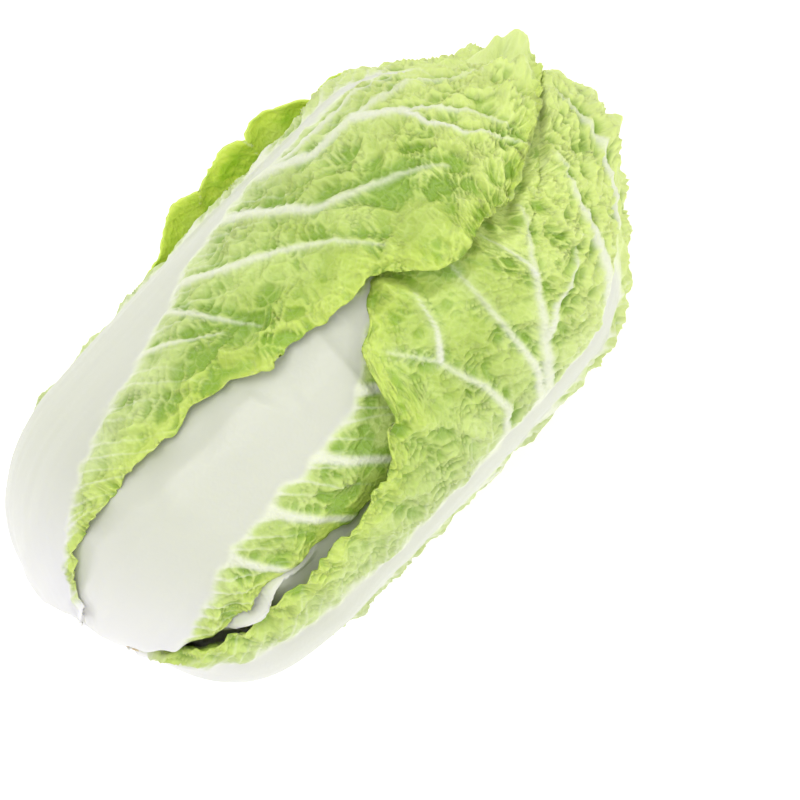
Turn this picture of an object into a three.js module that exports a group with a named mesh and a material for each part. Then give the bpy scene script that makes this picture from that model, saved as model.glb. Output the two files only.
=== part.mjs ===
// Whole head of Chinese cabbage, lying on its side. Millimetres, +Z up.
// The butt points to -X, the tip to +X. Five outer leaves and five leaves of the second whorl wrap a
// dense heart, and all of them grow round a short stem that is cut flat at the butt.
import * as THREE from 'three';

// Driving dimensions
const HEAD_LENGTH = 300;
const BARREL_RADIUS = 79;
const BARREL_BULGE = 1.5;
const BUTT_RADIUS = 27;
const BASE_CENTRE = 74;
const TIP_CENTRE = 222;
const BASE_TIGHTENING = 3.5;
const TIP_TIGHTENING = 8;
const REST_FLATNESS = 3.5;
const STEM_LENGTH = 40;
const BLADE = 0.95;
const LEAF_GAP = { 1: 1.15, 2: 2.4 };
const STACK_AT_BASE = 11;
const STACK_AT_TIP = 6;
const PACKING = 0.72;
const HEART_GAP = 3.6;

// The base leans: one side of it reaches further back than the other, by this much for each millimetre
// across. The lean has gone by the middle of the head.
const BASE_LEAN = 0.17;
const LEAN_START = 20;
const LEAN_END = 170;

// Flat spots under the weight, side by side on the two lowest outer leaves
const REST_SPOTS = {
  outer_leaf_low_left: { middle: 13, width: 18, blend: 12 },
  outer_leaf_low_right: { middle: -22, width: 14, blend: 8 },
};
const REST_LENGTH = 116;
const REST_SINK = 0.3;
// Leaves lie still against the head below this height, as a part of its radius
const REST_CALM = -0.9;
const REST_CALM_BAND = 0.35;

// How far a leaf still presses on the ones above it, past its own margin
const STEP_START = 7;
const STEP_END = 27;
const ROOT_SPREAD = 0.4;
// How far from a covering margin a covered leaf starts to ruffle
const FREE_START = 9;
const FREE_END = 24;

const DEGREE = Math.PI / 180;
const BUTT_ANGLE = Math.asin(BUTT_RADIUS / BARREL_RADIUS);
const ROOT_CLEARANCE = 0.5 / BARREL_RADIUS;
const BASE_ARC = BARREL_RADIUS * (Math.PI / 2);
const BARREL_LENGTH = TIP_CENTRE - BASE_CENTRE;
const TIP_START = BASE_ARC + BARREL_LENGTH;

// A leaf is laid out by the distance along its rib from the middle of the butt and the distance across.
// half: half widths [distance along, to the left, to the right]; past the last one the blade closes as
// half an ellipse. rib: half widths and thickness of the rib [distance along, half width, thickness].
const OUTER_RIB = [[0, 19, 9], [70, 27, 8.5], [130, 28, 7], [190, 19, 4.8], [250, 10, 3], [330, 4, 1.4]];
const TOP_RIB = [[0, 20, 9], [60, 32, 8.8], [102, 33, 8], [139, 28, 6.6], [187, 23, 4.8], [250, 11, 3],
  [330, 4, 1.4]];
const RIGHT_RIB = [[0, 19, 9], [42, 25, 10.5], [66, 32, 14.6], [84, 33, 14.2], [112, 32, 11.5], [154, 28, 7.6],
  [190, 19, 4.8], [250, 10, 3], [330, 4, 1.4]];
const SECOND_RIB = [[0, 16, 6], [70, 23, 6], [130, 23, 5], [190, 15, 3.5], [250, 8, 2], [330, 3, 1]];

const LEAVES = [
  { name: 'second_leaf_under', side: 174, order: 0, end: 378, whorl: 2, seed: 5 },
  { name: 'second_leaf_low_left', side: -114, order: 1, end: 398, whorl: 2, seed: 11 },
  { name: 'second_leaf_right', side: 102, order: 2, end: 402, whorl: 2, seed: 17 },
  { name: 'second_leaf_left', side: -42, order: 3, end: 400, whorl: 2, seed: 23 },
  { name: 'second_leaf_top', side: 32, order: 4, end: 404, whorl: 2, seed: 29 },
  {
    name: 'outer_leaf_top', side: -3, order: 5, end: 352, whorl: 1, seed: 3, rib: TOP_RIB,
    half: [[0, 20, 20], [34, 36, 41], [77, 43, 47], [100, 49, 50], [115, 54, 53], [160, 66, 60], [215, 80, 80],
      [290, 84, 84]],
  },
  {
    name: 'outer_leaf_low_right', side: 144, order: 6, end: 352, whorl: 1, seed: 7,
    half: [[0, 20, 20], [60, 40, 40], [140, 60, 64], [215, 76, 84], [280, 80, 88]],
  },
  {
    name: 'outer_leaf_right', side: 74, order: 7, end: 420, whorl: 1, seed: 13, flare: 3, ruffle: 5, rib: RIGHT_RIB,
    half: [[0, 17, 20], [50, 18, 34], [63, 26, 38], [89, 38, 44], [115, 45, 52], [153, 48, 61], [182, 54, 68],
      [200, 72, 74], [214, 97, 78], [240, 108, 82], [310, 100, 86]],
  },
  {
    name: 'outer_leaf_left', side: -68, order: 8, end: 370, whorl: 1, seed: 19, flare: 2, ruffle: 4.5,
    half: [[0, 20, 22], [30, 27, 41], [60, 37, 51], [92, 46, 62], [125, 55, 67], [168, 67, 70], [183, 71, 80],
      [235, 80, 84], [262, 82, 103], [294, 82, 100], [328, 78, 96]],
  },
  {
    name: 'outer_leaf_low_left', side: -144, order: 9, end: 350, whorl: 1, seed: 31, flare: 14, ruffle: 8,
    open: [165, 295],
    half: [[0, 20, 20], [60, 36, 36], [150, 48, 54], [205, 50, 72], [250, 52, 76], [285, 54, 66]],
  },
];

const SECOND_HALF = [[0, 18, 18], [60, 34, 34], [140, 50, 50], [215, 66, 66], [310, 72, 72]];

// Veins leave the rib every few centimetres and run towards the margin, more steeply near the tip:
// distance along at the root, and distance along gained for each millimetre across
const VEINS = [[112, 0.35], [140, 0.5], [168, 0.7], [198, 1], [232, 1.6], [268, 2.6]];
const VEIN_WIDTH = 5.5;
const VEIN_HEIGHT = 2.4;
const PILLOW = 2.2;
const RUFFLE_LENGTH = 38;
const RUFFLE_BAND = 30;
const OUTLINE_WAVE = 2.5;
// The ruffles die down towards the end of the leaf, which lies over the tip
const TIP_CALM = 440;
const TIP_CALM_BAND = 110;

// Number of steps along and across each leaf
const GRID = { 1: [30, 14], 2: [21, 10] };
const END_ROW = 0.62;

const COLOURS = { leaf: 0xb9d172, inner: 0xcfdf8e, heart: 0xe0e59a, stem: 0xf0ece0 };

function clamp01(x) {
  return Math.min(1, Math.max(0, x));
}

function smooth(x) {
  const c = clamp01(x);
  return c * c * (3 - 2 * c);
}

function mix(a, b, f) {
  return a + (b - a) * f;
}

// Reads column k of a table whose first column is the distance along, eased between its rows
function along(table, s, k) {
  if (s <= table[0][0]) return table[0][k];
  for (let i = 1; i < table.length; i += 1) {
    if (s <= table[i][0]) {
      const f = (s - table[i - 1][0]) / (table[i][0] - table[i - 1][0]);
      return mix(table[i - 1][k], table[i][k], smooth(f));
    }
  }
  return table[table.length - 1][k];
}

for (const leaf of LEAVES) {
  leaf.half = leaf.half ?? SECOND_HALF;
  leaf.rib = leaf.rib ?? (leaf.whorl === 1 ? OUTER_RIB : SECOND_RIB);
  leaf.flare = leaf.flare ?? 1;
  leaf.ruffle = leaf.ruffle ?? 4;
  leaf.open = leaf.open ?? [90, 330];
  leaf.closing = leaf.half[leaf.half.length - 1][0];
  const a = leaf.side * DEGREE;
  leaf.out = new THREE.Vector3(0, -Math.sin(a), Math.cos(a));
  leaf.across = new THREE.Vector3(0, -Math.cos(a), -Math.sin(a));
}

// A place on the head is a centre on the axis and a direction from it: the base and the tip are round
// caps, the barrel between them is straight.
function placeOf(leaf, s, t) {
  const turn = t / BARREL_RADIUS;
  const m = new THREE.Vector3();
  let centre = BASE_CENTRE;
  if (s < BASE_ARC) {
    const b = s / BARREL_RADIUS;
    m.copy(leaf.out).multiplyScalar(Math.sin(b));
    m.x = -Math.cos(b);
  } else if (s < TIP_START) {
    m.copy(leaf.out);
    centre = BASE_CENTRE + s - BASE_ARC;
  } else {
    const b = (s - TIP_START) / BARREL_RADIUS;
    m.copy(leaf.out).multiplyScalar(Math.cos(b));
    m.x = Math.sin(b);
    centre = TIP_CENTRE;
  }
  const direction = m.multiplyScalar(Math.cos(turn)).addScaledVector(leaf.across, Math.sin(turn));
  return { centre, direction };
}

// The same place in another leaf's own distances along and across
function distancesOn(leaf, place) {
  const { centre, direction } = place;
  const outward = direction.dot(leaf.out);
  const sideways = direction.dot(leaf.across);
  if (centre > BASE_CENTRE && centre < TIP_CENTRE) {
    return { s: BASE_ARC + centre - BASE_CENTRE, t: BARREL_RADIUS * Math.atan2(sideways, outward) };
  }
  const t = BARREL_RADIUS * Math.asin(Math.max(-1, Math.min(1, sideways)));
  if (direction.x < 0) {
    return { s: BARREL_RADIUS * Math.atan2(outward, -direction.x), t };
  }
  return { s: TIP_START + BARREL_RADIUS * Math.atan2(direction.x, outward), t };
}

// Half width of the blade on the side that t lies on
function halfWidth(leaf, s, t) {
  const column = t < 0 ? 1 : 2;
  const open = along(leaf.half, s, column);
  const wave = OUTLINE_WAVE * Math.sin(s * 0.17 + leaf.seed + column) * smooth((s - 60) / 60);
  const closing = clamp01((s - leaf.closing) / (leaf.end - leaf.closing));
  return (open + wave) * Math.sqrt(1 - closing * closing);
}

// Distance past the margin: negative on the leaf, positive outside it
function pastMargin(leaf, s, t) {
  if (s > leaf.end) return Math.hypot(t, s - leaf.end);
  const step = 2;
  const half = halfWidth(leaf, s, t);
  if (s < 0) return Math.hypot(Math.max(0, Math.abs(t) - half), s);
  const slope = (half - halfWidth(leaf, s - step, t)) / step;
  return (Math.abs(t) - half) / Math.hypot(1, slope);
}

function ribThickness(leaf, s, t) {
  const x = clamp01(Math.abs(t) / along(leaf.rib, s, 1));
  return along(leaf.rib, s, 2) * (1 - x * x) ** 1.5;
}

function plainThickness(leaf, s, t) {
  return BLADE + ribThickness(leaf, s, t);
}

// The form that the outer leaves make together, as a distance from the place's centre
function outerForm(place) {
  const { centre, direction } = place;
  let radius = BARREL_RADIUS;
  if (direction.x < 0) {
    radius -= BASE_TIGHTENING * direction.x * direction.x;
  } else if (direction.x > 0) {
    const lengthwise = direction.x * direction.x;
    radius -= TIP_TIGHTENING * 4 * lengthwise * (1 - lengthwise);
  } else {
    radius += BARREL_BULGE * Math.sin(Math.PI * (centre - BASE_CENTRE) / BARREL_LENGTH);
  }
  const down = Math.max(0, -direction.z);
  return radius - REST_FLATNESS * smooth((down - 0.9) / 0.1);
}

function usualStack(place) {
  const position = place.centre + BARREL_RADIUS * place.direction.x;
  return mix(STACK_AT_BASE, STACK_AT_TIP, smooth(position / HEAD_LENGTH));
}

// What one leaf adds to the height of those over it: its thickness and a gap, eased at its margin
function stepOf(leaf, place) {
  const { s, t } = distancesOn(leaf, place);
  const past = pastMargin(leaf, s, t);
  if (past >= STEP_END) return 0;
  const spread = mix(ROOT_SPREAD, 1, smooth(s / BASE_ARC));
  const press = 1 - smooth((past / spread - STEP_START) / (STEP_END - STEP_START));
  return (plainThickness(leaf, s, t) + LEAF_GAP[leaf.whorl]) * press;
}

// Height of the inner face of a leaf. The leaves press into the heart, so that most of their thickness
// goes inwards and the outside stays near the form that they make together.
function innerFace(order, place) {
  let whole = 0;
  let under = 0;
  for (const leaf of LEAVES) {
    const step = stepOf(leaf, place);
    whole += step;
    if (leaf.order < order) under += step;
  }
  return outerForm(place) - mix(usualStack(place), whole, PACKING) + under;
}

// 1 where nothing lies over the leaf, 0 where another leaf covers it
function exposure(order, place) {
  let free = 1;
  for (const over of LEAVES) {
    if (over.order <= order) continue;
    const { s, t } = distancesOn(over, place);
    free *= smooth((pastMargin(over, s, t) - FREE_START) / (FREE_END - FREE_START));
  }
  return free;
}

// Ridges of the veins on both sides of the rib, strongest near the rib
function veinRidge(leaf, s, t) {
  const rib = along(leaf.rib, s, 1);
  const outside = Math.abs(t) - rib * 0.7;
  if (outside < 0) return 0;
  const shift = t < 0 ? 9 : -5;
  let ridge = 0;
  VEINS.forEach(([root, slope], k) => {
    const start = root + shift + 4 * Math.sin(leaf.seed + k);
    const x = (s - start - slope * outside) / (VEIN_WIDTH * Math.hypot(1, slope));
    ridge += Math.exp(-x * x);
  });
  return ridge * smooth(outside / 12) * mix(1, 0.35, clamp01(outside / 80));
}

// Swelling of the blade between its veins
function pillow(leaf, s, t) {
  const wide = Math.sin(s * 0.16 + 0.4 * leaf.seed) * Math.sin(t * 0.19 + leaf.seed);
  return 0.5 + 0.5 * wide;
}

// Waves along the margin, growing towards it, and the margin's lean away from the head
function marginLift(leaf, s, t) {
  const inside = -pastMargin(leaf, s, t);
  const near = 1 - clamp01(inside / RUFFLE_BAND);
  const [from, to] = leaf.open;
  const lean = smooth((s - from) / 50) * smooth((to - s) / 50);
  const grown = smooth((s - 70) / 80) * smooth((TIP_CALM - s) / TIP_CALM_BAND);
  const phase = (s + (s > leaf.closing ? 0.9 * Math.abs(t) : 0)) * 2 * Math.PI / RUFFLE_LENGTH;
  const wave = 0.5 + 0.5 * Math.sin(phase + leaf.seed + (t < 0 ? 1.7 : 0));
  return grown * leaf.ruffle * wave * near ** 1.5 + lean * leaf.flare * near * near;
}

// Heights of both faces of a leaf at one place
function facesOf(leaf, s, t) {
  const place = placeOf(leaf, s, t);
  const aloft = smooth((place.direction.z - REST_CALM) / REST_CALM_BAND);
  const free = exposure(leaf.order, place) * aloft;
  const blade = smooth((Math.abs(t) - 0.6 * along(leaf.rib, s, 1)) / 14);
  const lift = free * (marginLift(leaf, s, t) + PILLOW * blade * pillow(leaf, s, t));
  const inner = innerFace(leaf.order, place) + lift;
  const ridge = free * VEIN_HEIGHT * veinRidge(leaf, s, t);
  return { place, inner, outer: inner + plainThickness(leaf, s, t) + ridge };
}

// The lean of the base moves a point along the head
function leaned(x, y, z) {
  const lean = BASE_LEAN * (1 - smooth((x - LEAN_START) / (LEAN_END - LEAN_START)));
  return [x - lean * y, y, z];
}

function pointAt(place, distance) {
  const { centre, direction } = place;
  return leaned(centre + direction.x * distance, direction.y * distance, direction.z * distance);
}

// The root of the leaf follows the round stem, the last row follows the closing ellipse
function gridPlace(leaf, u, v) {
  const column = v < 0 ? 1 : 2;
  const reach = leaf.end - leaf.closing;
  const corner = leaf.closing + reach * Math.sqrt(1 - END_ROW * END_ROW);
  const last = leaf.closing + reach * Math.sqrt(1 - (END_ROW * v) ** 2);
  const rootHalf = leaf.half[0][column];
  const turn = rootHalf * v / BARREL_RADIUS;
  const ratio = Math.min(1, Math.cos(BUTT_ANGLE + ROOT_CLEARANCE) / Math.cos(turn));
  const root = BARREL_RADIUS * Math.acos(ratio);
  const side = BARREL_RADIUS * Math.acos(Math.min(1, Math.cos(BUTT_ANGLE + ROOT_CLEARANCE)
    / Math.cos(rootHalf / BARREL_RADIUS)));
  const s = mix(root, last, u);
  const edge = halfWidth(leaf, mix(side, corner, u), v);
  return { s, t: v * edge };
}

// A closed solid from two grids of points with the same split on both faces
function closedSheet(rows, columns, faces) {
  const positions = [];
  const index = [];
  const count = (rows + 1) * (columns + 1);
  for (const face of ['outer', 'inner']) {
    for (const row of faces) {
      for (const cell of row) positions.push(...cell[face]);
    }
  }
  const at = (i, j) => i * (columns + 1) + j;
  for (let i = 0; i < rows; i += 1) {
    for (let j = 0; j < columns; j += 1) {
      const [a, b, c, d] = [at(i, j), at(i, j + 1), at(i + 1, j + 1), at(i + 1, j)];
      const corners = (i + j) % 2 ? [[a, b, c], [a, c, d]] : [[a, b, d], [b, c, d]];
      for (const [p, q, r] of corners) {
        index.push(p, q, r);
        index.push(p + count, r + count, q + count);
      }
    }
  }
  const rim = [];
  for (let j = 0; j < columns; j += 1) rim.push([at(0, j), at(0, j + 1)]);
  for (let i = 0; i < rows; i += 1) rim.push([at(i, columns), at(i + 1, columns)]);
  for (let j = columns; j > 0; j -= 1) rim.push([at(rows, j), at(rows, j - 1)]);
  for (let i = rows; i > 0; i -= 1) rim.push([at(i, 0), at(i - 1, 0)]);
  for (const [p, q] of rim) {
    index.push(p, q + count, q);
    index.push(p, p + count, q + count);
  }
  return meshGeometry(positions, index);
}

function meshGeometry(positions, index) {
  const geometry = new THREE.BufferGeometry();
  geometry.setAttribute('position', new THREE.Float32BufferAttribute(positions, 3));
  geometry.setIndex(index);
  geometry.computeVertexNormals();
  return geometry;
}

// 1 on a rest spot, falling to 0 around it
function restWeight(spot, point) {
  const lengthwise = Math.abs(point[0] - HEAD_LENGTH / 2) - REST_LENGTH / 2;
  const crosswise = Math.abs(point[1] - spot.middle) - spot.width / 2;
  return 1 - smooth(Math.max(lengthwise, crosswise) / spot.blend);
}

function leafFaces(leaf) {
  const [rows, columns] = GRID[leaf.whorl];
  const cells = [];
  for (let i = 0; i <= rows; i += 1) {
    const row = [];
    for (let j = 0; j <= columns; j += 1) {
      const { s, t } = gridPlace(leaf, i / rows, 2 * j / columns - 1);
      row.push(facesOf(leaf, s, t));
    }
    cells.push(row);
  }
  return cells;
}

// Lowest height that any leaf reaches, so that the rest face can lie just under it
function lowestOf(allFaces) {
  let lowest = 0;
  for (const cells of allFaces) {
    for (const { place, outer } of cells.flat()) lowest = Math.min(lowest, place.direction.z * outer);
  }
  return lowest;
}

// How far the leaf is pushed out, so that its rest spot lies on the floor
function restShift(leaf, place, outer, floor) {
  const spot = REST_SPOTS[leaf.name];
  if (!spot || place.direction.z > -0.5) return 0;
  return (floor / place.direction.z - outer) * restWeight(spot, pointAt(place, outer));
}

function leafGeometry(leaf, cells, floor) {
  const [rows, columns] = GRID[leaf.whorl];
  const faces = cells.map((row) => row.map(({ place, inner, outer }) => {
    const shift = restShift(leaf, place, outer, floor);
    return { outer: pointAt(place, outer + shift), inner: pointAt(place, inner + shift) };
  }));
  return closedSheet(rows, columns, faces);
}

// Dense heart: the form under every leaf, with the margins of its own leaves raised on it
const HEART_ROUND = 28;
const HEART_LEAVES = 7;
const HEART_RELIEF = 2.4;
const HEART_CRUMPLE = 3;

function heartRelief(place, azimuth) {
  const tipward = smooth((place.direction.x - 0.1) / 0.8);
  const spiral = (azimuth / (2 * Math.PI) * HEART_LEAVES + place.centre / 190) % 1;
  const saw = spiral < 0 ? spiral + 1 : spiral;
  const crumple = Math.sin(azimuth * 5) * Math.sin(place.direction.x * 9);
  return -HEART_RELIEF * saw - tipward * HEART_CRUMPLE * (0.5 - 0.5 * crumple);
}

function heartGeometry() {
  const rows = [];
  const base = BUTT_ANGLE + 2 * ROOT_CLEARANCE;
  const radiusAt = (place, azimuth) => innerFace(-1, place) - HEART_GAP + heartRelief(place, azimuth);
  const ring = (centre, angle, radius) => {
    const row = [];
    for (let k = 0; k < HEART_ROUND; k += 1) {
      const azimuth = 2 * Math.PI * k / HEART_ROUND;
      const across = Math.sin(angle);
      const direction = new THREE.Vector3(
        -Math.cos(angle), -across * Math.sin(azimuth), across * Math.cos(azimuth));
      if (Math.abs(direction.x) < 1e-9) direction.x = 0;
      const place = { centre, direction };
      row.push(pointAt(place, radius ?? radiusAt(place, azimuth)));
    }
    rows.push(row);
  };
  const hollow = BARREL_RADIUS - STEM_LENGTH - 5;
  ring(BASE_CENTRE, base, hollow);
  for (let k = 0; k <= 5; k += 1) ring(BASE_CENTRE, mix(base + 0.03, Math.PI / 2, k / 5));
  for (let k = 1; k <= 7; k += 1) ring(mix(BASE_CENTRE, TIP_CENTRE, k / 7), Math.PI / 2);
  for (let k = 1; k <= 7; k += 1) ring(TIP_CENTRE, mix(Math.PI / 2, Math.PI * 0.97, k / 7));
  const first = [BASE_CENTRE - hollow * Math.cos(base), 0, 0];
  const lastRow = rows[rows.length - 1];
  const last = [lastRow[0][0], 0, 0];
  return closedTube(rows, first, last);
}

// A closed solid from rings of points and a point at each end
function closedTube(rows, first, last) {
  const positions = [first, ...rows.flat(), last].flat();
  const round = rows[0].length;
  const index = [];
  const at = (i, k) => 1 + i * round + (k % round);
  const end = rows.length * round + 1;
  for (let k = 0; k < round; k += 1) {
    index.push(0, at(0, k + 1), at(0, k));
    index.push(end, at(rows.length - 1, k), at(rows.length - 1, k + 1));
    for (let i = 0; i + 1 < rows.length; i += 1) {
      index.push(at(i, k), at(i + 1, k + 1), at(i + 1, k));
      index.push(at(i, k), at(i, k + 1), at(i + 1, k + 1));
    }
  }
  return meshGeometry(positions, index);
}

// Stem: a short cone, widest at the flat cut
const STEM_SIDES = 32;
const STEM_EDGE = 1.5;

function stemGeometry() {
  const face = BASE_CENTRE - (BARREL_RADIUS - BASE_TIGHTENING) * Math.cos(BUTT_ANGLE);
  const slope = Math.tan(BUTT_ANGLE - ROOT_CLEARANCE);
  const radiusAt = (x) => (BASE_CENTRE - x) * slope;
  const inner = face + STEM_LENGTH - 4;
  const profile = [
    new THREE.Vector2(0, face),
    new THREE.Vector2(radiusAt(face) - STEM_EDGE, face),
    new THREE.Vector2(radiusAt(face + STEM_EDGE), face + STEM_EDGE),
    new THREE.Vector2(radiusAt(inner), inner),
    new THREE.Vector2(0, inner),
  ];
  const geometry = new THREE.LatheGeometry(profile, STEM_SIDES);
  geometry.rotateZ(-Math.PI / 2);
  const corners = geometry.getAttribute('position');
  for (let k = 0; k < corners.count; k += 1) {
    corners.setXYZ(k, ...leaned(corners.getX(k), corners.getY(k), corners.getZ(k)));
  }
  return geometry;
}

function addPiece(group, name, geometry, colour) {
  const material = new THREE.MeshStandardMaterial({ color: colour, roughness: 0.55, metalness: 0 });
  const mesh = new THREE.Mesh(geometry, material);
  mesh.name = name;
  group.add(mesh);
}

const cabbage = new THREE.Group();
const allFaces = LEAVES.map(leafFaces);
const floor = lowestOf(allFaces) - REST_SINK;
addPiece(cabbage, 'stem', stemGeometry(), COLOURS.stem);
addPiece(cabbage, 'heart', heartGeometry(), COLOURS.heart);
LEAVES.forEach((leaf, k) => {
  const colour = leaf.whorl === 1 ? COLOURS.leaf : COLOURS.inner;
  addPiece(cabbage, leaf.name, leafGeometry(leaf, allFaces[k], floor), colour);
});

// The origin is under the middle of the whole head, on the surface that it lies on
const box = new THREE.Box3().setFromObject(cabbage, true);
const middle = box.getCenter(new THREE.Vector3());
cabbage.position.set(-middle.x, -middle.y, -box.min.z);

export default cabbage;
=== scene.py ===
# %% [markdown]
# # A whole head of Chinese cabbage, lying on its side
#
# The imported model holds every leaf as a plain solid: its place, its rib, its big veins and its waves.
# This lesson puts a finer surface on each of them. All lengths below are in millimetres until the very
# end, where one function turns them into metres and moves them to the frame's origin.

# %% Load the frame
import bpy
import numpy as np
from mathutils import Matrix, Vector


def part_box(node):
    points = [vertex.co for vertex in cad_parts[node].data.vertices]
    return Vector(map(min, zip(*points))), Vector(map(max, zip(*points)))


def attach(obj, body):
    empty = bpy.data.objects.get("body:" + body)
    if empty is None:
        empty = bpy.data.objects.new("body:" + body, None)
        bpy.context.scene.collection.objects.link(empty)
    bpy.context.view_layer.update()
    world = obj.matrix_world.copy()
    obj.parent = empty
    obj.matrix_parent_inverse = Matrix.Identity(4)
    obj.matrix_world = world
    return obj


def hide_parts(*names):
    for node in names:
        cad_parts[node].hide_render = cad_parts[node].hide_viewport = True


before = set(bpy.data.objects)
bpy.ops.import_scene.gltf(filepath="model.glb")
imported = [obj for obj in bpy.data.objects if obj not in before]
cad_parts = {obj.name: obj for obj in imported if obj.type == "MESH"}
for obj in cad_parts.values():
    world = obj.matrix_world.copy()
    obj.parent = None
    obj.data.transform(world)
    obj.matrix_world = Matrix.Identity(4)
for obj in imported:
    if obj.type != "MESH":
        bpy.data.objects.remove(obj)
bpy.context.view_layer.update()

# %% [markdown]
# ## The form of the head
#
# A barrel head is a tube with two round ends. A place on it is a centre on the axis and a direction
# from that centre, so one formula serves the base, the barrel and the tip. Each leaf then has its own
# map of the head: the distance along its rib from the middle of the butt, and the distance across.
# Working in such a map keeps the real lengths of ribs and veins, which a flat projection would stretch.

# %% Sizes of the head
BARREL_RADIUS = 79
BARREL_BULGE = 1.5
BUTT_RADIUS = 27
BASE_CENTRE = 74
TIP_CENTRE = 222
BASE_TIGHTENING = 3.5
TIP_TIGHTENING = 8
REST_FLATNESS = 3.5
HEAD_LENGTH = 300
BASE_ARC = BARREL_RADIUS * np.pi / 2
TIP_START = BASE_ARC + TIP_CENTRE - BASE_CENTRE
BUTT_ANGLE = np.arcsin(BUTT_RADIUS / BARREL_RADIUS)
ROOT_CLEARANCE = 0.5 / BARREL_RADIUS
BASE_LEAN = 0.17
LEAN_START, LEAN_END = 20, 170


def ramp(x):
    """0 below 0, 1 above 1, and an eased rise between."""
    c = np.clip(x, 0, 1)
    return c * c * (3 - 2 * c)


def mix(a, b, f):
    """a where f is 0, b where f is 1."""
    return a + (b - a) * f


def along(table, s, k=1):
    """Column k of a table whose first column is the distance along, eased between its rows."""
    rows = np.array(table, float)
    i = np.clip(np.searchsorted(rows[:, 0], s), 1, len(rows) - 1)
    f = ramp((s - rows[i - 1, 0]) / (rows[i, 0] - rows[i - 1, 0]))
    return mix(rows[i - 1, k], rows[i, k], f)


def by_side(table, s, left):
    """The column of a table for the left side where left is true, and else the one for the right."""
    return np.where(left, along(table, s, 1), along(table, s, 2))


# %% Places on the head, and each leaf's own map of it
def leaf_axes(side):
    """Unit vectors of a leaf whose rib runs at the angle side from the top: outwards, and across."""
    a = np.radians(side)
    return np.array([0, -np.sin(a), np.cos(a)]), np.array([0, -np.cos(a), -np.sin(a)])


def place_of(side, s, t):
    """Centre on the axis and direction of the place at s along and t across a leaf. The base and tip
    are arcs of the barrel's radius, and t turns every direction sideways by t over the radius."""
    out, across = leaf_axes(side)
    base, tip = s / BARREL_RADIUS, (s - TIP_START) / BARREL_RADIUS
    lengthwise = np.where(s < BASE_ARC, -np.cos(base), np.where(s < TIP_START, 0, np.sin(tip)))
    outward = np.where(s < BASE_ARC, np.sin(base), np.where(s < TIP_START, 1, np.cos(tip)))
    centre = np.clip(BASE_CENTRE + s - BASE_ARC, BASE_CENTRE, TIP_CENTRE)
    turn = t / BARREL_RADIUS
    middle = outward[..., None] * out
    middle[..., 0] += lengthwise
    return centre, np.cos(turn)[..., None] * middle + np.sin(turn)[..., None] * across


def distances_on(side, place):
    """The same place in another leaf's map: the reverse of place_of."""
    centre, direction = place
    out, across = leaf_axes(side)
    outward, sideways, dx = direction @ out, direction @ across, direction[..., 0]
    straight = (centre > BASE_CENTRE) & (centre < TIP_CENTRE)
    at_base = BARREL_RADIUS * np.arctan2(outward, -dx)
    at_tip = TIP_START + BARREL_RADIUS * np.arctan2(dx, outward)
    s = np.where(straight, BASE_ARC + centre - BASE_CENTRE, np.where(dx < 0, at_base, at_tip))
    capped = np.arcsin(np.clip(sideways, -1, 1))
    return s, BARREL_RADIUS * np.where(straight, np.arctan2(sideways, outward), capped)


def outer_form(place):
    """Radius of the whole head: round at the base, a little fuller in the middle, tighter at the tip,
    and flatter underneath, where it lies."""
    centre, direction = place
    dx, down = direction[..., 0], -direction[..., 2]
    bulge = BARREL_BULGE * np.sin(np.pi * (centre - BASE_CENTRE) / (TIP_CENTRE - BASE_CENTRE))
    radius = BARREL_RADIUS + np.where(np.abs(dx) < 1e-9, bulge, 0)
    radius = radius - np.where(dx < 0, BASE_TIGHTENING * dx * dx, 0)
    radius = radius - np.where(dx > 0, TIP_TIGHTENING * 4 * dx * dx * (1 - dx * dx), 0)
    return radius - REST_FLATNESS * ramp((down - 0.9) / 0.1)


# %% [markdown]
# ## The leaves
#
# Five outer leaves lie over five leaves of the second whorl, spiralling round the heart. Each is given
# by the angle of its rib, its order from the inside out, its length, and its half widths to the left
# and right. The tables are those of the solids, so that the fine leaves keep their form. Only the feet
# of the top leaf and the right leaf are set anew, because the two meet there on the real head.
# One table is new: the half widths of the white part, where the tissue is too thick for any green.

# %% Ribs [along, half width, thickness], and the outline of the second whorl [along, left, right]
OUTER_RIB = [[0, 19, 9], [70, 27, 8.5], [130, 28, 7], [190, 19, 4.8], [250, 10, 3], [330, 4, 1.4]]
TOP_RIB = [[0, 20, 9], [60, 32, 8.8], [102, 33, 8], [139, 28, 6.6], [187, 23, 4.8], [250, 11, 3],
           [330, 4, 1.4]]
RIGHT_RIB = [[0, 19, 9], [42, 25, 10.5], [66, 32, 14.6], [84, 33, 14.2], [112, 32, 11.5], [154, 28, 7.6],
             [190, 19, 4.8], [250, 10, 3], [330, 4, 1.4]]
SECOND_RIB = [[0, 16, 6], [70, 23, 6], [130, 23, 5], [190, 15, 3.5], [250, 8, 2], [330, 3, 1]]
SECOND_HALF = [[0, 18, 18], [60, 34, 34], [140, 50, 50], [215, 66, 66], [310, 72, 72]]


def second(name, side, order, end, seed):
    """A leaf of the second whorl: they all have the same outline."""
    return dict(name=name, side=side, order=order, end=end, seed=seed, whorl=2, rib=SECOND_RIB,
                half=SECOND_HALF)


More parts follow.
